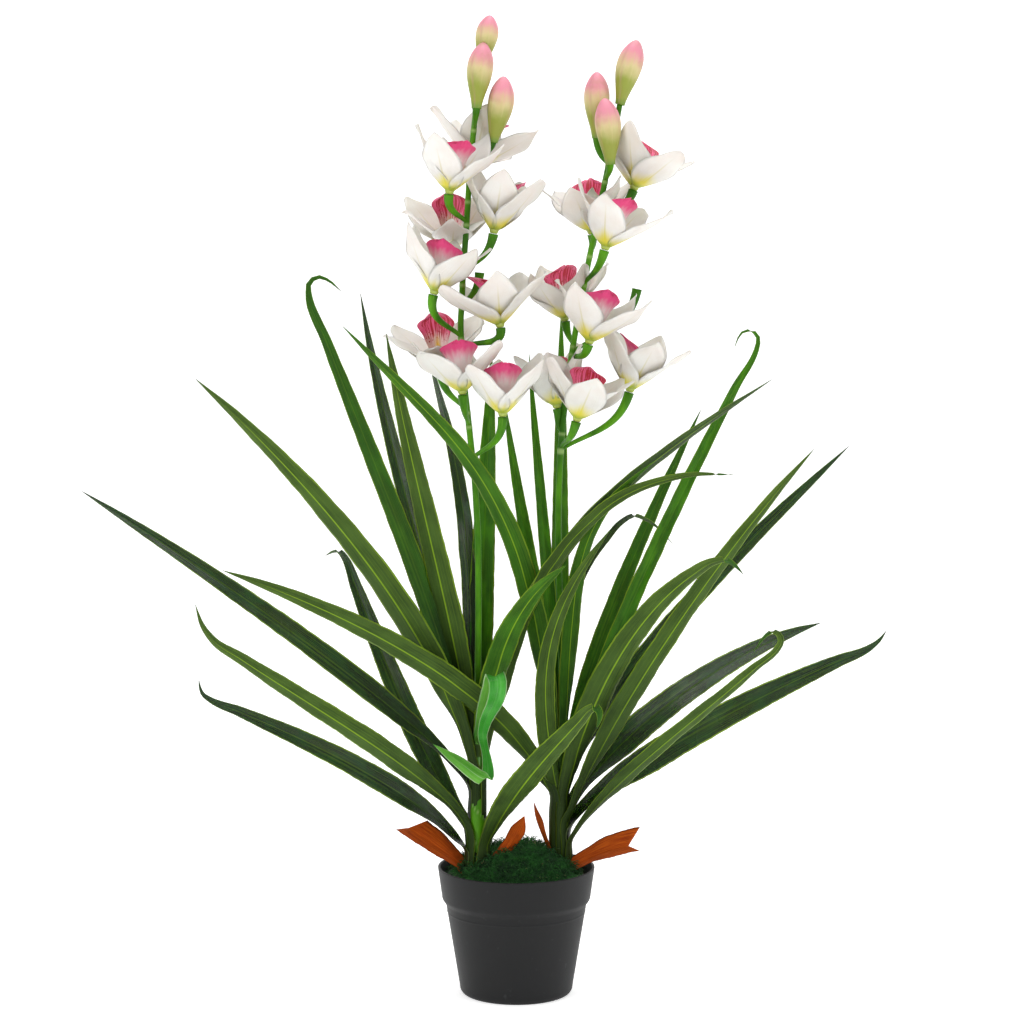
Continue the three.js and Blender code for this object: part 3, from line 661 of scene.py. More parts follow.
def blade(name, rows, sizes, seed, finish, side_name, cut=None):
    """A thin folded blade with gently wavy edges along a spine of rows. A leaf's foot wraps its shoot."""
    dice = random.Random(seed)
    widest = max(np.linalg.norm(row[3:]) for row in rows)
    wraps, radius = sheathed(rows, side_name, widest) if sizes["sheath"] else ([], 1.0)
    path = smooth(wraps + list(rows), sizes["steps"])
    run = distances(path[:, :3])
    wrapped = span(wraps[0][:3], wraps[-1][:3]) if wraps else 0.0
    along = np.gradient(path[:, :3], axis=0)
    phase = [dice.uniform(0, 6.3) for _ in range(4)]
    rings, pattern = [], []
    side = unit(path[0, 3:])
    for k in range(sizes["steps"] - 1):
        p, t = path[k, :3], unit(along[k])
        share = run[k] / run[-1]
        half = np.linalg.norm(path[k, 3:])
        square = path[k, 3:] - t * np.dot(path[k, 3:], t)
        side = unit(square) if np.linalg.norm(square) > 1e-5 else side
        # above its sheath the blade opens out and turns its broad side to the front
        opened = min(1.0, max(0.0, run[k] - wrapped) / SHEATH["fade"]) if wraps else 1.0
        opened = opened * opened * (3 - 2 * opened)
        shown = np.cross(t, FRONT)
        shown = shown * math.copysign(1, np.dot(shown, side))
        side = unit(side + (shown - side) * sizes["front"] * opened)
        face = np.cross(t, side)
        curl = max(FLATTEST, (1 - opened) * widest * SHEATH["wide"] / radius)
        size = half / widest
        ripple = 2 * math.pi * run[k] / sizes["ripple"]
        ahead = run[-1] * max(0.0, share - CUT_FROM) / (1 - CUT_FROM)
        upper, lower = [], []
        for u in np.linspace(-1, 1, sizes["across"]):
            wobble = math.sin(ripple + phase[0 if u < 0 else 1]) + 0.6 * math.sin(0.43 * ripple + phase[2])
            wave = sizes["wave"] * opened * size * wobble * abs(u) ** 1.6
            nick = math.sin(2.7 * ripple + phase[3] + u) + math.sin(6.1 * ripple + 2 * u)
            reach = half * math.sin(u * curl) / curl * (1 + sizes["nick"] * nick)
            rise = half * (1 - math.cos(u * curl)) / curl + wave
            rise += opened * sizes["fold"] * half * abs(u) ** 0.9
            here = p + side * reach + face * rise + t * (cut(u) * ahead if cut else 0.0)
            body = sizes["thick"] * (1 - abs(u) ** 4) * mixed(sizes["thin_tip"], 1, size)
            rib = sizes["rib"] * size * opened * max(0.0, 1 - abs(u) / sizes["rib_width"]) ** 1.5
            upper.append((here + face * (body * 0.5 - rib * 0.4), (u, share, 0.0)))
            lower.append((here - face * (body * 0.5 + rib), (u, share, 1.0)))
        ring = upper + lower[-2:0:-1]
        rings.append([place for place, _ in ring])
        pattern.append([marks for _, marks in ring])
    shape = Shape()
    shape.rings(rings, pattern, last=path[-1, :3] if cut is None else None)
    return shape.object(name, [finish], "blade")


def folded(rows):
    """The short front leaf: its hanging end is pinched, then folds sharply back."""
    end = rows[-1][:3].copy()
    wide = unit(rows[-2][3:]) * FOLD["half"]
    rows = [row for row in rows if span(row[:3], end) > FOLD["replaced"]]
    for share, size in ((0.0, 1.0), (0.5, 0.8), (1.0, 0.02)):
        rows.append(np.concatenate([end + FOLD["down"] + FOLD["back"] * share, wide * size]))
    return rows


def make_leaves():
    finishes = {kind: leaf_finish(f"leaf_{kind}", *tones) for kind, tones in LEAF_TONES.items()}
    for s, side in enumerate(SIDES):
        for number in range(1, 17):
            node = f"{side}_leaf_{number:02d}"
            rows = blade_rows(node, side)
            if node == FOLD["leaf"]:
                rows = folded(rows)
            finish = finishes[leaf_kind(side, number)]
            piece = blade(f"{node}_blade", rows, LEAF, 100 * s + number, finish, side)
            belongs(piece, node)


def swallow(u):
    """A forked end: both corners reach further than the middle."""
    return 0.2 * abs(u) - 0.12


def slanted(u):
    """A square end cut on a slant."""
    return 0.16 * u


def make_bracts():
    finish = bract_finish()
    ends = {"left_bract_1": slanted, "left_bract_2": None, "right_bract_1": None, "right_bract_2": swallow}
    for seed, (node, cut) in enumerate(ends.items()):
        side = node.split("_")[0]
        rows = blade_rows(node, side)
        foot, _ = shoot_axis(side)
        start = rows[0].copy()
        out = unit(np.array([*(rows[1][:2] - foot[:2]), 0.0]))
        start[:3] = foot + out * BRACT_FOOT["out"] + FRONT * BRACT_FOOT["front"]
        start[2] = BRACT_FOOT["height"]
        start[3:] *= BRACT_FOOT["narrow"] * (1 if cut else BRACT_FOOT["pointed"])
        rows.insert(0, start)
        if cut:
            rows[-1][3:] = rows[-2][3:]
        belongs(blade(f"{node}_sheath", rows, BRACT, 300 + seed, finish, side, cut), node)


# ---- flowers ----


class Flower:
    """A flower's foot, its three directions (lip side, across, up its axis) and how far it opens."""

    def __init__(self, node):
        points, links = merged(node)
        self.foot, self.axis, _, _ = apexes(points, links, 7, 4 * MM, 5 * MM)[0]
        column_tip = apexes(points, links, 5, 2.5 * MM, 3.2 * MM)[0][0]
        lean = column_tip - self.foot
        self.lip = unit(lean - self.axis * np.dot(lean, self.axis))
        self.across = np.cross(self.axis, self.lip)
        angles = []
        for p in points:
            x, y, z = (np.dot(p - self.foot, d) for d in (self.lip, self.across, self.axis))
            out = math.hypot(x, y)
            turn = math.degrees(math.atan2(y, x))
            near = min(abs((turn - t + 180) % 360 - 180) for t in SEPAL["turns"])
            far = math.hypot(out - SEPAL["stand"], z - SEPAL["low"])
            if near < 3 and abs(far - SEPAL["length"]) < 1 * MM:
                angles.append(math.atan2(out - SEPAL["stand"], z - SEPAL["low"]))
        self.open = float(np.median(angles)) if angles else math.radians(USUAL_OPEN)

    def place(self, x, y, z):
        return self.foot + self.lip * x + self.across * y + self.axis * z


def read_flowers():
    """Every flower by its node, those of the left spike first."""
    names = sorted(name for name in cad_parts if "_flower_" in name and name[-1].isdigit())
    return {name: Flower(name) for name in names}


def tepal(shape, flower, sizes, turn, opened, dice):
    """A sepal or petal: a cupped oval that bends outwards and ends in a point."""
    out, up = sizes["length"] * math.sin(opened), sizes["length"] * math.cos(opened)
    turn = math.radians(turn)
    bend = TEPAL["bend"] * dice.uniform(-0.5, 1.0)
    twist = dice.uniform(-TEPAL["twist"], TEPAL["twist"])
    phase = [dice.uniform(0, 6.3) for _ in range(3)]
    rings, pattern = [], []
    for k in range(TEPAL["steps"]):
        t = k / (TEPAL["steps"] - 1) * 0.985
        r = sizes["stand"] + out * t
        z = sizes["low"] + up * (0.8 * t * (1 - t) + t * t)
        z -= bend * (max(0.0, t - 0.6) / 0.4) ** 2
        slope = unit(np.array([out, up * (0.8 * (1 - 2 * t) + 2 * t)]))
        inward = np.array([-slope[1], slope[0]])
        oval = math.sin(math.pi * t**0.9) ** 0.72
        half = sizes["width"] / 2 * (TEPAL["foot"] * (1 - t) ** 2 + oval * 0.98)
        cup = TEPAL["cup"] - TEPAL["uncup"] * t
        upper, lower = [], []
        for u in np.linspace(-1, 1, TEPAL["across"]):
            ruffle = TEPAL["ruffle"] * math.sin(8 * t + phase[0] + 1.8 * u)
            ruffle += TEPAL["fine_ruffle"] * math.sin(17 * t + phase[1] + 2 * u)
            lift = cup * half * abs(u) ** 1.8 + ruffle * u * u * t + twist * u * half * t
            groove = TEPAL["groove"] * max(0.0, 1 - abs(u) / 0.14)
            body = TEPAL["thick"] * (1 - abs(u) ** 6) + TEPAL["edge"]
            for ring, offset, outer in ((upper, body - groove, 0.0), (lower, -body, 1.0)):
                away, height = np.array([r, z]) + inward * (lift + offset)
                x = away * math.cos(turn) - half * u * math.sin(turn)
                y = away * math.sin(turn) + half * u * math.cos(turn)
                ring.append((flower.place(x, y, height), (u, t, outer)))
        ring = upper + lower[-2:0:-1]
        rings.append([place for place, _ in ring])
        pattern.append([marks for _, marks in ring])
    away, height = sizes["stand"] + out, sizes["low"] + up - bend
    shape.rings(rings, pattern, last=flower.place(away * math.cos(turn), away * math.sin(turn), height))


def lip(shape, flower, dice):
    """The lip: a trough that hugs the column and flares into a frilled margin."""
    phase = [dice.uniform(0, 6.3) for _ in range(3)]
    rings, pattern = [], []
    for k in range(LIP["steps"]):
        t = k / (LIP["steps"] - 1)
        flare = max(0.0, t - 0.6) / 0.4
        half = LIP["half"] * (0.34 + 0.66 * math.sin(t * math.pi / 2)) * (1 + 0.22 * flare)
        half *= math.sqrt(max(0.0, 1 - (max(0.0, t - 0.8) / 0.21) ** 2))
        wrap = 1.9 - 0.85 * t
        radius = half / wrap * 1.3
        out = LIP["foot"] + LIP["out"] * t + LIP["flare"] * flare**2
        height = LIP["low"] + LIP["length"] * t - LIP["droop"] * flare**2
        inner, outer = [], []
        for u in np.linspace(-1, 1, LIP["across"]):
            turn = u * wrap
            frill = LIP["frill"] * math.sin(6 * u + phase[0])
            frill += LIP["fine_frill"] * math.sin(11 * u + phase[1])
            frill = flare * (frill + LIP["nicks"] * math.sin(23 * u + phase[2]))
            x = out + radius * (math.cos(turn) - 1) + frill
            y = radius * math.sin(turn) * 1.05
            z = height + (LIP["lobe"] * t * (1 - t) - LIP["side_droop"] * flare) * u * u + frill * 0.5
            body = LIP["thick"] * (1 - abs(u) ** 8) + LIP["edge"]
            keel = LIP["keel"] * math.exp(-(((abs(u) - 0.1) / 0.05) ** 2)) * t * (1 - t) * 3
            normal = unit(np.array([math.cos(turn), math.sin(turn), -0.25]))
            for ring, offset, outside in ((inner, -body - keel, 0.0), (outer, body, 1.0)):
                place = np.array([x, y, z]) + normal * offset
                ring.append((flower.place(*place), (u, t, outside)))
        ring = inner + outer[-2:0:-1]
        rings.append([place for place, _ in ring])
        pattern.append([marks for _, marks in ring])
    shape.rings(rings, pattern, 1)


def column(shape, flower):
    """The column: a short thick rod bowed over the lip, with a rounded cap."""
    steps, sides = COLUMN["steps"], COLUMN["sides"]
    path, radii = [], []
    for k in range(steps):
        t = k / (steps - 1)
        lean = (-1 + 2.2 * t + 1.6 * t * t) * MM
        path.append(flower.place(lean, 0, COLUMN["low"] + COLUMN["length"] * t))
        cap = 1 + 0.35 * math.exp(-(((t - 0.86) / 0.1) ** 2))
        end = 1 if t < 0.88 else math.sqrt(max(0.02, 1 - ((t - 0.88) / 0.125) ** 2))
        radii.append(COLUMN["radius"] * cap * end)
    rings = tube_rings(np.array(path), radii, sides)
    pattern = [[(s / sides, k / (steps - 1), 0.0) for s in range(sides)] for k in range(steps)]
    shape.rings(rings, pattern, 2)


def calyx(shape, flower):
    """The green swelling under the tepals, which sits on the stalk."""
    turns = np.linspace(0, 2 * math.pi, 24, endpoint=False)
    rings, pattern = [], []
    for r, z in CALYX:
        rings.append([flower.place(r * MM * math.cos(q), r * MM * math.sin(q), z * MM) for q in turns])
        pattern.append([(1.0, z / 90, 1.0)] * len(turns))
    shape.rings(rings, pattern)


def make_flowers():
    finishes = [tepal_finish(), lip_finish(), column_finish()]
    for seed, (node, flower) in enumerate(read_flowers().items()):
        dice = random.Random(500 + seed)
        shape = Shape()
        calyx(shape, flower)
        for turn in SEPAL["turns"]:
            opened = flower.open * dice.uniform(0.94, 1.06)
            tepal(shape, flower, SEPAL, turn, opened, dice)
        for turn in PETAL["turns"]:
            opened = flower.open * PETAL_OPEN * dice.uniform(0.92, 1.06)
            tepal(shape, flower, PETAL, turn, opened, dice)
        lip(shape, flower, dice)
        column(shape, flower)
        belongs(shape.object(f"{node}_bloom", finishes, "bloom"), node)


# ---- spikes ----


def bezier(a, b, c, d, count):
    t = np.linspace(0, 1, count)[:, None]
    return (1 - t) ** 3 * a + 3 * t * (1 - t) ** 2 * b + 3 * t * t * (1 - t) * c + t**3 * d


def stalk_path(foot, head, axis, count):
    """A stalk leaves the stem outwards and turns up into its flower."""
    reach = span(foot, head)
    away = head - foot
    away[2] = 0
    away = unit(away)
    leaving = foot + (away * 0.3 + UP * 0.2) * reach
    return bezier(foot, leaving, head - axis * 0.45 * reach, head, count)


def stem_rows(points, links, side, top):
    """The stem's centre at heights from the shoot to the foot of the end bud."""
    axis, low = shoot_axis(side)
    centre = np.array([axis[0], axis[1], low])
    rows = []
    for height in np.arange(low + 6 * MM, top[2] - 8 * MM, 12 * MM):
        cuts = cut_points(points, links, height)
        guess = centre if len(rows) < 2 else rows[-1] + (rows[-1] - rows[-2])
        guess = np.array([guess[0], guess[1], height])
        near = [c for c in cuts if span(c, guess) < 1.9 * STEM["radius"]]
        if len(near) >= 6:
            middle = (np.max(near, axis=0) + np.min(near, axis=0)) / 2
            wide = np.max(near, axis=0) - np.min(near, axis=0)
            if max(wide) < 2.35 * STEM["radius"]:
                rows.append(middle)
    start = np.array([rows[0][0], rows[0][1], low + 0.5 * MM])
    return np.array([start, *rows[1:], top])


def bud_facts(points, links):
    """Each bud's tip, direction, length and foot, read from the rings below its tip."""
    buds = []
    for tip, inner, near, index in apexes(points, links, 7, 8 * MM, 15 * MM):
        second = set().union(*(links[i] for i in near)) - set(near) - {index}
        gap = np.mean([points[i] for i in second], axis=0) - np.mean([points[i] for i in near], axis=0)
        length = np.dot(gap, inner) * 5
        buds.append({"tip": tip, "axis": -inner, "length": length, "foot": tip + inner * length})
    if len(buds) < BUD["count"]:
        buds.append(cut_bud(points, links, buds))
    return buds


def cut_bud(points, links, buds):
    """The bud whose tip another bud's skin cuts: the highest point that stands over four or more others."""
    tip, inner = np.zeros(3), -UP
    for point, near in zip(points, links):
        around = [points[j] for j in near if 7 * MM < span(points[j], point) < 15 * MM]
        below = [place for place in around if place[2] < point[2]]
        clear = all(span(point, bud["tip"]) > 15 * MM for bud in buds)
        if len(below) > 3 and clear and point[2] > tip[2]:
            tip, inner = point, unit(unit(np.mean(below, axis=0) - point) - UP)
    return {"tip": tip, "axis": -inner, "length": BUD["length"], "foot": tip + inner * BUD["length"]}


def stalk_radius(share, thick=STALK["thick"]):
    """A stalk thickens towards its flower."""
    return STALK["thin"] + (thick - STALK["thin"]) * share**1.6


def make_spike(side, finishes):
    """Stem, stalks, buds and the bare stalk of one side, as one piece."""
    node = f"{side}_flower_spike"
    points, links = merged(node)
    tree = BVHTree.FromObject(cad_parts[node], bpy.context.evaluated_depsgraph_get())
    buds = bud_facts(points, links)
    end_bud = max(buds, key=lambda bud: bud["foot"][2])
    stem = smooth(stem_rows(points, links, side, end_bud["foot"]), STEM["rows"])
    shape = Shape()
    joints = []
    goals = [(head, axis, STALK["thick"]) for head, axis in flat_ends(points, links)]
    for bud in buds:
        if bud is not end_bud:
            goals.append((bud["foot"] + bud["axis"] * 3 * MM, bud["axis"], STALK["bud_thick"]))
    for head, axis, thick in goals:
        below = [p for p in stem if 5 * MM < head[2] - p[2] < 85 * MM]
        foot = min(below, key=lambda p: misfit(tree, stalk_path(p, head, axis, STALK["tests"])))
        joints.append(foot[2])
        path = stalk_path(foot, head, axis, STALK["steps"])
        add_tube(shape, path, stalk_radius(np.linspace(0, 1, STALK["steps"]), thick), joints=())
    radii = STEM["radius"] * (1.08 - 0.2 * np.arange(len(stem)) / len(stem))
    for height in joints:
        radii += STEM["ring"] * np.exp(-(((stem[:, 2] - height + STEM["ring_below"]) / (1.3 * MM)) ** 2))
    add_tube(shape, stem, radii, joints)
    for number, bud in enumerate(buds):
        add_bud(shape, bud, random.Random(700 + number))
    belongs(shape.object(f"{side}_spike", finishes, "stem"), node)


def flat_ends(points, links):
    """The flat ends of the stalks, whose five neighbours lie in one plane with them: place and way up."""
    found = []
    for point, _, near, _ in apexes(points, links, 5, 4.3 * MM, 4.9 * MM):
        crossed = [np.cross(points[a] - point, points[b] - point) for a, b in combinations(near, 2)]
        normal = unit(next(c for c in crossed if np.linalg.norm(c) > 1e-6))
        found.append((point, normal * math.copysign(1, normal[2])))
    return found


def misfit(tree, path):
    """How far a stalk's line lies from the skin round it."""
    total = 0.0
    for share, p in zip(np.linspace(0, 1, len(path)), path):
        *_, gap = tree.find_nearest(Vector(p))
        total += abs(gap - 0.75 * stalk_radius(share)) if 0.1 < share < 0.9 else 0.0
    return total


def add_tube(shape, path, radii, joints):
    """A stem or stalk with pale marks at its joints."""
    sides = STEM["sides"]
    pattern = []
    for p, run in zip(path, distances(path)):
        above = [p[2] - height + STEM["ring_below"] for height in joints]
        mark = min(1.0, sum(math.exp(-((z / (1.1 * MM)) ** 2)) for z in above))
        pattern.append([(math.sin(2 * math.pi * s / sides), run * 4, mark) for s in range(sides)])
    shape.rings(tube_rings(path, radii, sides), pattern)


def add_bud(shape, bud, dice):
    """A closed bud: three overlapping sepals, widest above the middle, with a blunt point."""
    steps, sides = BUD["steps"], BUD["sides"]
    size = bud["length"] / BUD["length"]
    axis = unit(bud["axis"])
    a = unit(np.cross(axis, [0.2, 1.0, 0.1]))
    b = np.cross(axis, a)
    turn = dice.uniform(0, 6.3)
    lean = dice.uniform(-1, 1)
    rings, pattern = [], []
    for k in range(steps):
        t = k / (steps - 1)
        # a slim foot, then a full body, and a blunt end
        swell = math.sin(math.pi / 2 * t / BUD["widest"]) ** 1.6
        radius = BUD["wide"] * size**0.5 * mixed(BUD["foot"], 1, swell)
        if t > BUD["widest"]:
            radius *= math.sqrt(max(0.0, 1 - ((t - BUD["widest"]) / 0.385) ** 2.9))
        centre = bud["foot"] + axis * bud["length"] * t + a * lean * BUD["bow"] * math.sin(math.pi * t)
        ring, marks = [], []
        for s in range(sides):
            q = 2 * math.pi * s / sides
            seam = abs(math.sin(1.5 * (q + turn) + 0.9 * t))
            groove = math.exp(-((seam / 0.12) ** 2))
            r = radius * (1 - 0.05 * groove + 0.02 * math.cos(3 * (q + turn)))
            ring.append(centre + r * (a * math.cos(q) + b * math.sin(q)))
            marks.append((math.sin(q), t, groove))
        rings.append(ring)
        pattern.append(marks)
    shape.rings(rings, pattern, 1)


# ---- shoots ----


def make_shoot(side, finish):
    """A stout base wrapped by overlapping leaf sheaths."""
    node = f"{side}_shoot"
    foot, top = shoot_axis(side)
    low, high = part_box(node)
    steps, sides = SHOOT["steps"], SHOOT["sides"]
    rings, pattern = [], []
    for k in range(steps):
        t = k / (steps - 1)
        swell = min(t / SHOOT["widest"], (1 - t) / (1 - SHOOT["widest"]))
        radius = (high.x - low.x) / 2 * (SHOOT["slim"] + SHOOT["swell"] * swell)
        ring, marks = [], []
        for s in range(sides):
            q = 2 * math.pi * s / sides
            sheath = (q / math.pi + SHOOT["turns"] * t) % 1.0
            r = radius * (1 + SHOOT["step"] * sheath - SHOOT["sunk"])
            ring.append(foot + np.array([r * math.cos(q), r * math.sin(q), (top - foot[2]) * t]))
            marks.append((math.sin(q), t, 0.5 if sheath > 0.94 else 0.0))
        rings.append(ring)
        pattern.append(marks)
    shape = Shape()
    shape.rings(rings, pattern)
    belongs(shape.object(f"{node}_sheaths", [finish], "stem"), node)


# ---- pot and moss ----


def rounded(corners, radius, steps=5):
    """An outline whose corners are rounded, each by a radius or by as much as fits."""
    points = []
    for k, corner in enumerate(corners):
        if k in (0, len(corners) - 1):
            points.append(corner)
            continue
        here = np.array(corner)
        before, after = np.array(corners[k - 1]) - here, np.array(corners[k + 1]) - here
        size = min(radius, 0.45 * np.linalg.norm(before), 0.45 * np.linalg.norm(after))
        start, end = here + unit(before) * size, here + unit(after) * size
        for t in np.linspace(0, 1, steps):
            points.append(tuple((1 - t) ** 2 * start + 2 * t * (1 - t) * here + t * t * end))
    return points


def make_pot():
    """A turned shell: a stepped foot, a sloping side with a fine raised line, and the rim's band."""
    _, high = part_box("pot")
    scale, top = high.x / POT["rim"], high.z
    rim, band_foot, body_top, body_foot, foot = (
        scale * POT[part] for part in ("rim", "band_foot", "body_top", "body_foot", "foot"))
    band, wall, low, floor = top - POT["band"], POT["wall"], POT["foot_step"], POT["floor"]
    shoulder = band - POT["step"]
    line = shoulder - POT["line"]

    def side(z):
        return body_foot + (body_top - body_foot) * (z - low) / (shoulder - low)

    outline = [
        (0.0, 0.6 * MM), (foot - 6 * MM, 0.6 * MM), (foot - 4 * MM, 0.0), (foot, 0.0),
        (body_foot - 0.6 * MM, 3.2 * MM), (body_foot, low),
        (side(line - 1.2 * MM), line - 1.2 * MM), (side(line) + POT["raised"], line),
        (side(line + 1.2 * MM), line + 1.2 * MM), (body_top, shoulder),
        (band_foot, band), (rim, top - 1 * MM), (rim, top), (rim - wall, top),
        (band_foot - wall, band), (body_top - wall, shoulder), (body_foot - wall, low),
        (foot - wall, floor), (0.0, floor),
    ]
    outline = [(max(r, 0.01 * MM), z) for r, z in rounded(outline, POT["round"])]
    turns = np.linspace(0, 2 * math.pi, POT["sides"], endpoint=False)
    shape = Shape()
    rings = [[(r * math.cos(q), r * math.sin(q), z) for q in turns] for r, z in outline]
    shape.rings(rings, [[(math.cos(q), z, 0.0) for q in turns] for _, z in outline])
    belongs(shape.object("pot_shell", [pot_finish()], "blade"), "pot")


class Tree:
    """A Geometry Nodes tree with named inputs."""

    def __init__(self, name):
        self.group = bpy.data.node_groups.new(name, "GeometryNodeTree")
        self.group.interface.new_socket("Geometry", in_out="INPUT", socket_type="NodeSocketGeometry")
        self.group.interface.new_socket("Geometry", in_out="OUTPUT", socket_type="NodeSocketGeometry")
        self.start = self.group.nodes.new("NodeGroupInput")
        self.end = self.group.nodes.new("NodeGroupOutput")
        self.names = {}

    def input(self, name, kind):
        socket = self.group.interface.new_socket(name, in_out="INPUT", socket_type="NodeSocket" + kind)
        self.names[name] = socket.identifier
        return self.start.outputs[name]

    def add(self, kind, settings=None, inputs=None):
        return new_node(self.group, kind, settings, inputs)


def strand_tree():
    """Moss strands: short bent threads that stand and lie on a surface at random."""
    tree = Tree("moss_strand_tree")
    density = tree.input("Density", "Float")
    length = tree.input("Length", "Float")
    seed = tree.input("Seed", "Int")
    finish = tree.input("Finish", "Material")
    spread = tree.add("GeometryNodeDistributePointsOnFaces", {"distribute_method": "RANDOM"},
                      {"Mesh": tree.start.outputs["Geometry"], "Density": density, "Seed": seed})
    thread = tree.add("GeometryNodeCurvePrimitiveBezierSegment", {}, {
        "Resolution": 5, "Start": (0, 0, 0), "Start Handle": (0.15, 0, 0.35),
        "End Handle": (0.45, 0.25, 0.6), "End": (0.9, 0.1, 0.35)})
    ring = tree.add("GeometryNodeCurvePrimitiveCircle", {}, {"Resolution": 3, "Radius": 0.035})
    strand = tree.add("GeometryNodeCurveToMesh", {}, {
        "Curve": thread.outputs[0], "Profile Curve": ring.outputs[0], "Fill Caps": True})
    turn = tree.add("FunctionNodeRandomValue", {"data_type": "FLOAT_VECTOR"},
                    {0: (-0.9, -0.9, 0.0), 1: (0.9, 0.9, 6.283), "Seed": seed})
    size = tree.add("FunctionNodeRandomValue", {"data_type": "FLOAT"}, {2: 0.55, 3: 1.25, "Seed": seed})
    scaled = tree.add("ShaderNodeMath", {"operation": "MULTIPLY"}, {0: size.outputs[1], 1: length})
    placed = tree.add("GeometryNodeInstanceOnPoints", {}, {
        "Points": spread.outputs["Points"], "Instance": strand.outputs[0], "Rotation": turn.outputs[0],
        "Scale": scaled.outputs[0]})
    real = tree.add("GeometryNodeRealizeInstances", {}, {"Geometry": placed.outputs[0]})
    dressed = tree.add("GeometryNodeSetMaterial", {}, {"Geometry": real.outputs[0], "Material": finish})
    tree.group.links.new(dressed.outputs[0], tree.end.inputs[0])
    return tree


def baked(source, tree, values, name):
    """The mesh that a tree makes on an object, as a plain object of its own."""
    modifier = source.modifiers.new("tree", "NODES")
    modifier.node_group = tree.group
    for key, value in values.items():
        modifier[tree.names[key]] = value
    depsgraph = bpy.context.evaluated_depsgraph_get()
    mesh = bpy.data.meshes.new_from_object(source.evaluated_get(depsgraph))
    source.modifiers.remove(modifier)
    mesh.name = name
    return placed(name, mesh)


def moss_mound(finish, edge, low, high):
    """A lumpy mound between two heights."""
    dice = random.Random(MOSS["seed"])
    knobs = [(dice.uniform(-1, 1), dice.uniform(-1, 1), dice.uniform(0.4, 1)) for _ in range(MOSS["knobs"])]
    points, _ = merged("moss")
    rim = min(p[2] for p in points if math.hypot(p[0], p[1]) > 0.96 * edge and p[2] > low + 5 * MM)

    def height(x, y):
        out = min(1.0, math.hypot(x, y) / edge)
        z = rim + (high - rim) * (1 - out * out)
        for kx, ky, size in knobs:
            gap = math.hypot(x / edge - kx, y / edge - ky)
            z += MOSS["knob"] * size * math.exp(-((gap / 0.13) ** 2))
        return z - MOSS["sunk"]

    turns = np.linspace(0, 2 * math.pi, MOSS["spokes"], endpoint=False)
    rings = []
    for k in range(MOSS["steps"], 0, -1):
        r = edge * k / MOSS["steps"]
        places = [(r * math.cos(q), r * math.sin(q)) for q in turns]
        rings.append([(x, y, height(x, y)) for x, y in places])
    rings.insert(0, [(p[0], p[1], low) for p in rings[0]])
    shape = Shape()
    shape.rings(rings, np.zeros((len(rings), MOSS["spokes"], 3)), last=(0, 0, height(0, 0)))
    return shape.object("moss_mound", [finish], "blade")


def make_moss():
    """A lumpy mound under a coat of strands."""
    finish = moss_finish()
    low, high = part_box("moss")
    edge = (high.x - low.x) / 2
    mound = moss_mound(finish, edge, low.z, high.z)
    belongs(mound, "moss")
    bed = mound.copy()
    bed.data = mound.data.copy()
    bed.name = "moss_bed"
    bpy.context.scene.collection.objects.link(bed)
    # the strands grow on the mound's upper side, clear of the pot's rim
    trim = bmesh.new()
    trim.from_mesh(bed.data)
    reach = MOSS["clear"] * edge
    bare = [f for f in trim.faces if f.normal.z < 0.3 or math.hypot(*f.calc_center_median()[:2]) > reach]
    bmesh.ops.delete(trim, geom=bare, context="FACES")
    trim.to_mesh(bed.data)
    trim.free()
    values = {"Density": MOSS["density"], "Length": MOSS["strand"], "Seed": MOSS["seed"], "Finish": finish}
    strands = baked(bed, strand_tree(), values, "moss_strands")
    bpy.data.objects.remove(bed)
    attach(strands, "root")


# ---- stage ----


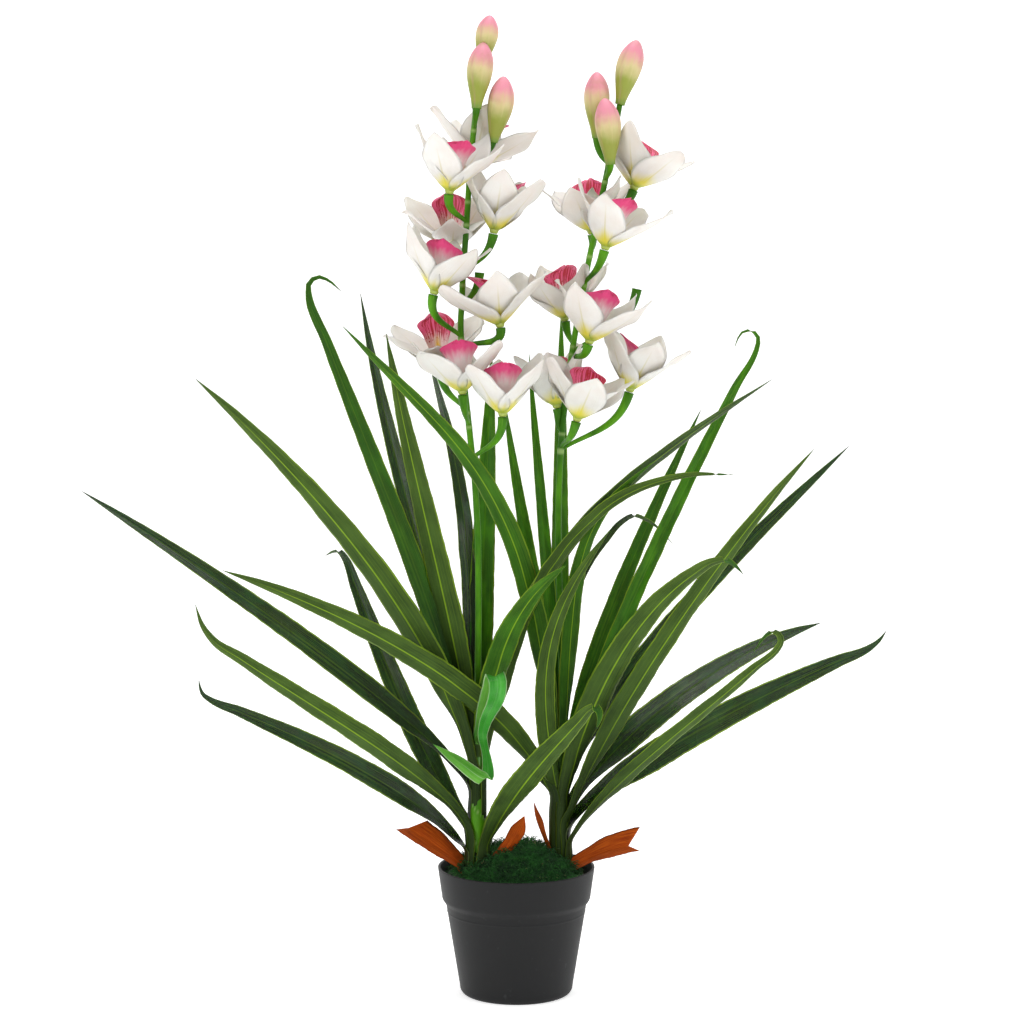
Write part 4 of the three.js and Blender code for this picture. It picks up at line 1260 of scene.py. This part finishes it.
def make_stage():
    """A pale floor that sweeps up into a wall."""
    m = Finish("pale_backdrop")
    grain = m.noise(m.place(), 8.0, 2.0)
    colour = m.mix(grain.band(0.3, 0.7), "f4f4f4", "f6f6f6")
    finish = m.made(colour, 0.9 + grain * 0.02, m.bump(grain, 0.05, 0.0002), shining=0.56)
    back, sweep, wide = STAGE["back"], STAGE["sweep"], STAGE["half_width"]
    bends = np.linspace(0.1, math.pi / 2, 16)
    profile = [(STAGE["front"], 0.0), (back, 0.0)]
    profile += [(back + sweep * math.sin(a), sweep - sweep * math.cos(a)) for a in bends]
    profile.append((back + sweep, STAGE["top"]))
    corners = [(x, y, z) for x in (-wide, wide) for y, z in profile]
    n = len(profile)
    faces = [(k, k + 1, n + k + 1, n + k) for k in range(n - 1)]
    mesh = bpy.data.meshes.new("backdrop")
    mesh.from_pydata(corners, [], [tuple(reversed(f)) for f in faces])
    mesh.polygons.foreach_set("use_smooth", [True] * len(faces))
    mesh.materials.append(finish)
    placed("backdrop", mesh)


def make_lights():
    target = Vector((0, 0, CAMERA["aim"]))
    for name, (place, size, power) in LIGHTS.items():
        data = bpy.data.lights.new(name, "AREA")
        data.shape, data.size, data.energy = "DISK", size, power
        lamp = placed(name, data)
        lamp.location = place
        lamp.rotation_euler = (target - Vector(place)).to_track_quat("-Z", "Y").to_euler()
    world = bpy.data.worlds.new("studio")
    world.use_nodes = True
    sky = world.node_tree.nodes["Background"]
    sky.inputs["Color"].default_value = (1, 1, 1, 1)
    sky.inputs["Strength"].default_value = SKY
    bpy.context.scene.world = world


def make_camera():
    data = bpy.data.cameras.new("camera")
    data.lens, data.sensor_width = CAMERA["lens"], CAMERA["sensor"]
    camera = placed("camera", data)
    camera.location = (CAMERA["aside"], -CAMERA["distance"], CAMERA["height"])
    aim = Vector((CAMERA["aside"], 0, CAMERA["aim"])) - camera.location
    camera.rotation_euler = aim.to_track_quat("-Z", "Y").to_euler()
    bpy.context.scene.camera = camera


# ---- everything ----

make_camera()
make_stage()
make_lights()
bpy.context.scene.view_settings.view_transform = "Standard"

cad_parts["potting_fill"].material_slots[0].material = soil_finish()
green, pink = stem_finish(), bud_finish()
make_pot()
make_moss()
for side_name in SIDES:
    make_shoot(side_name, green)
for side_name in SIDES:
    make_spike(side_name, [green, pink])
make_flowers()
make_leaves()
make_bracts()
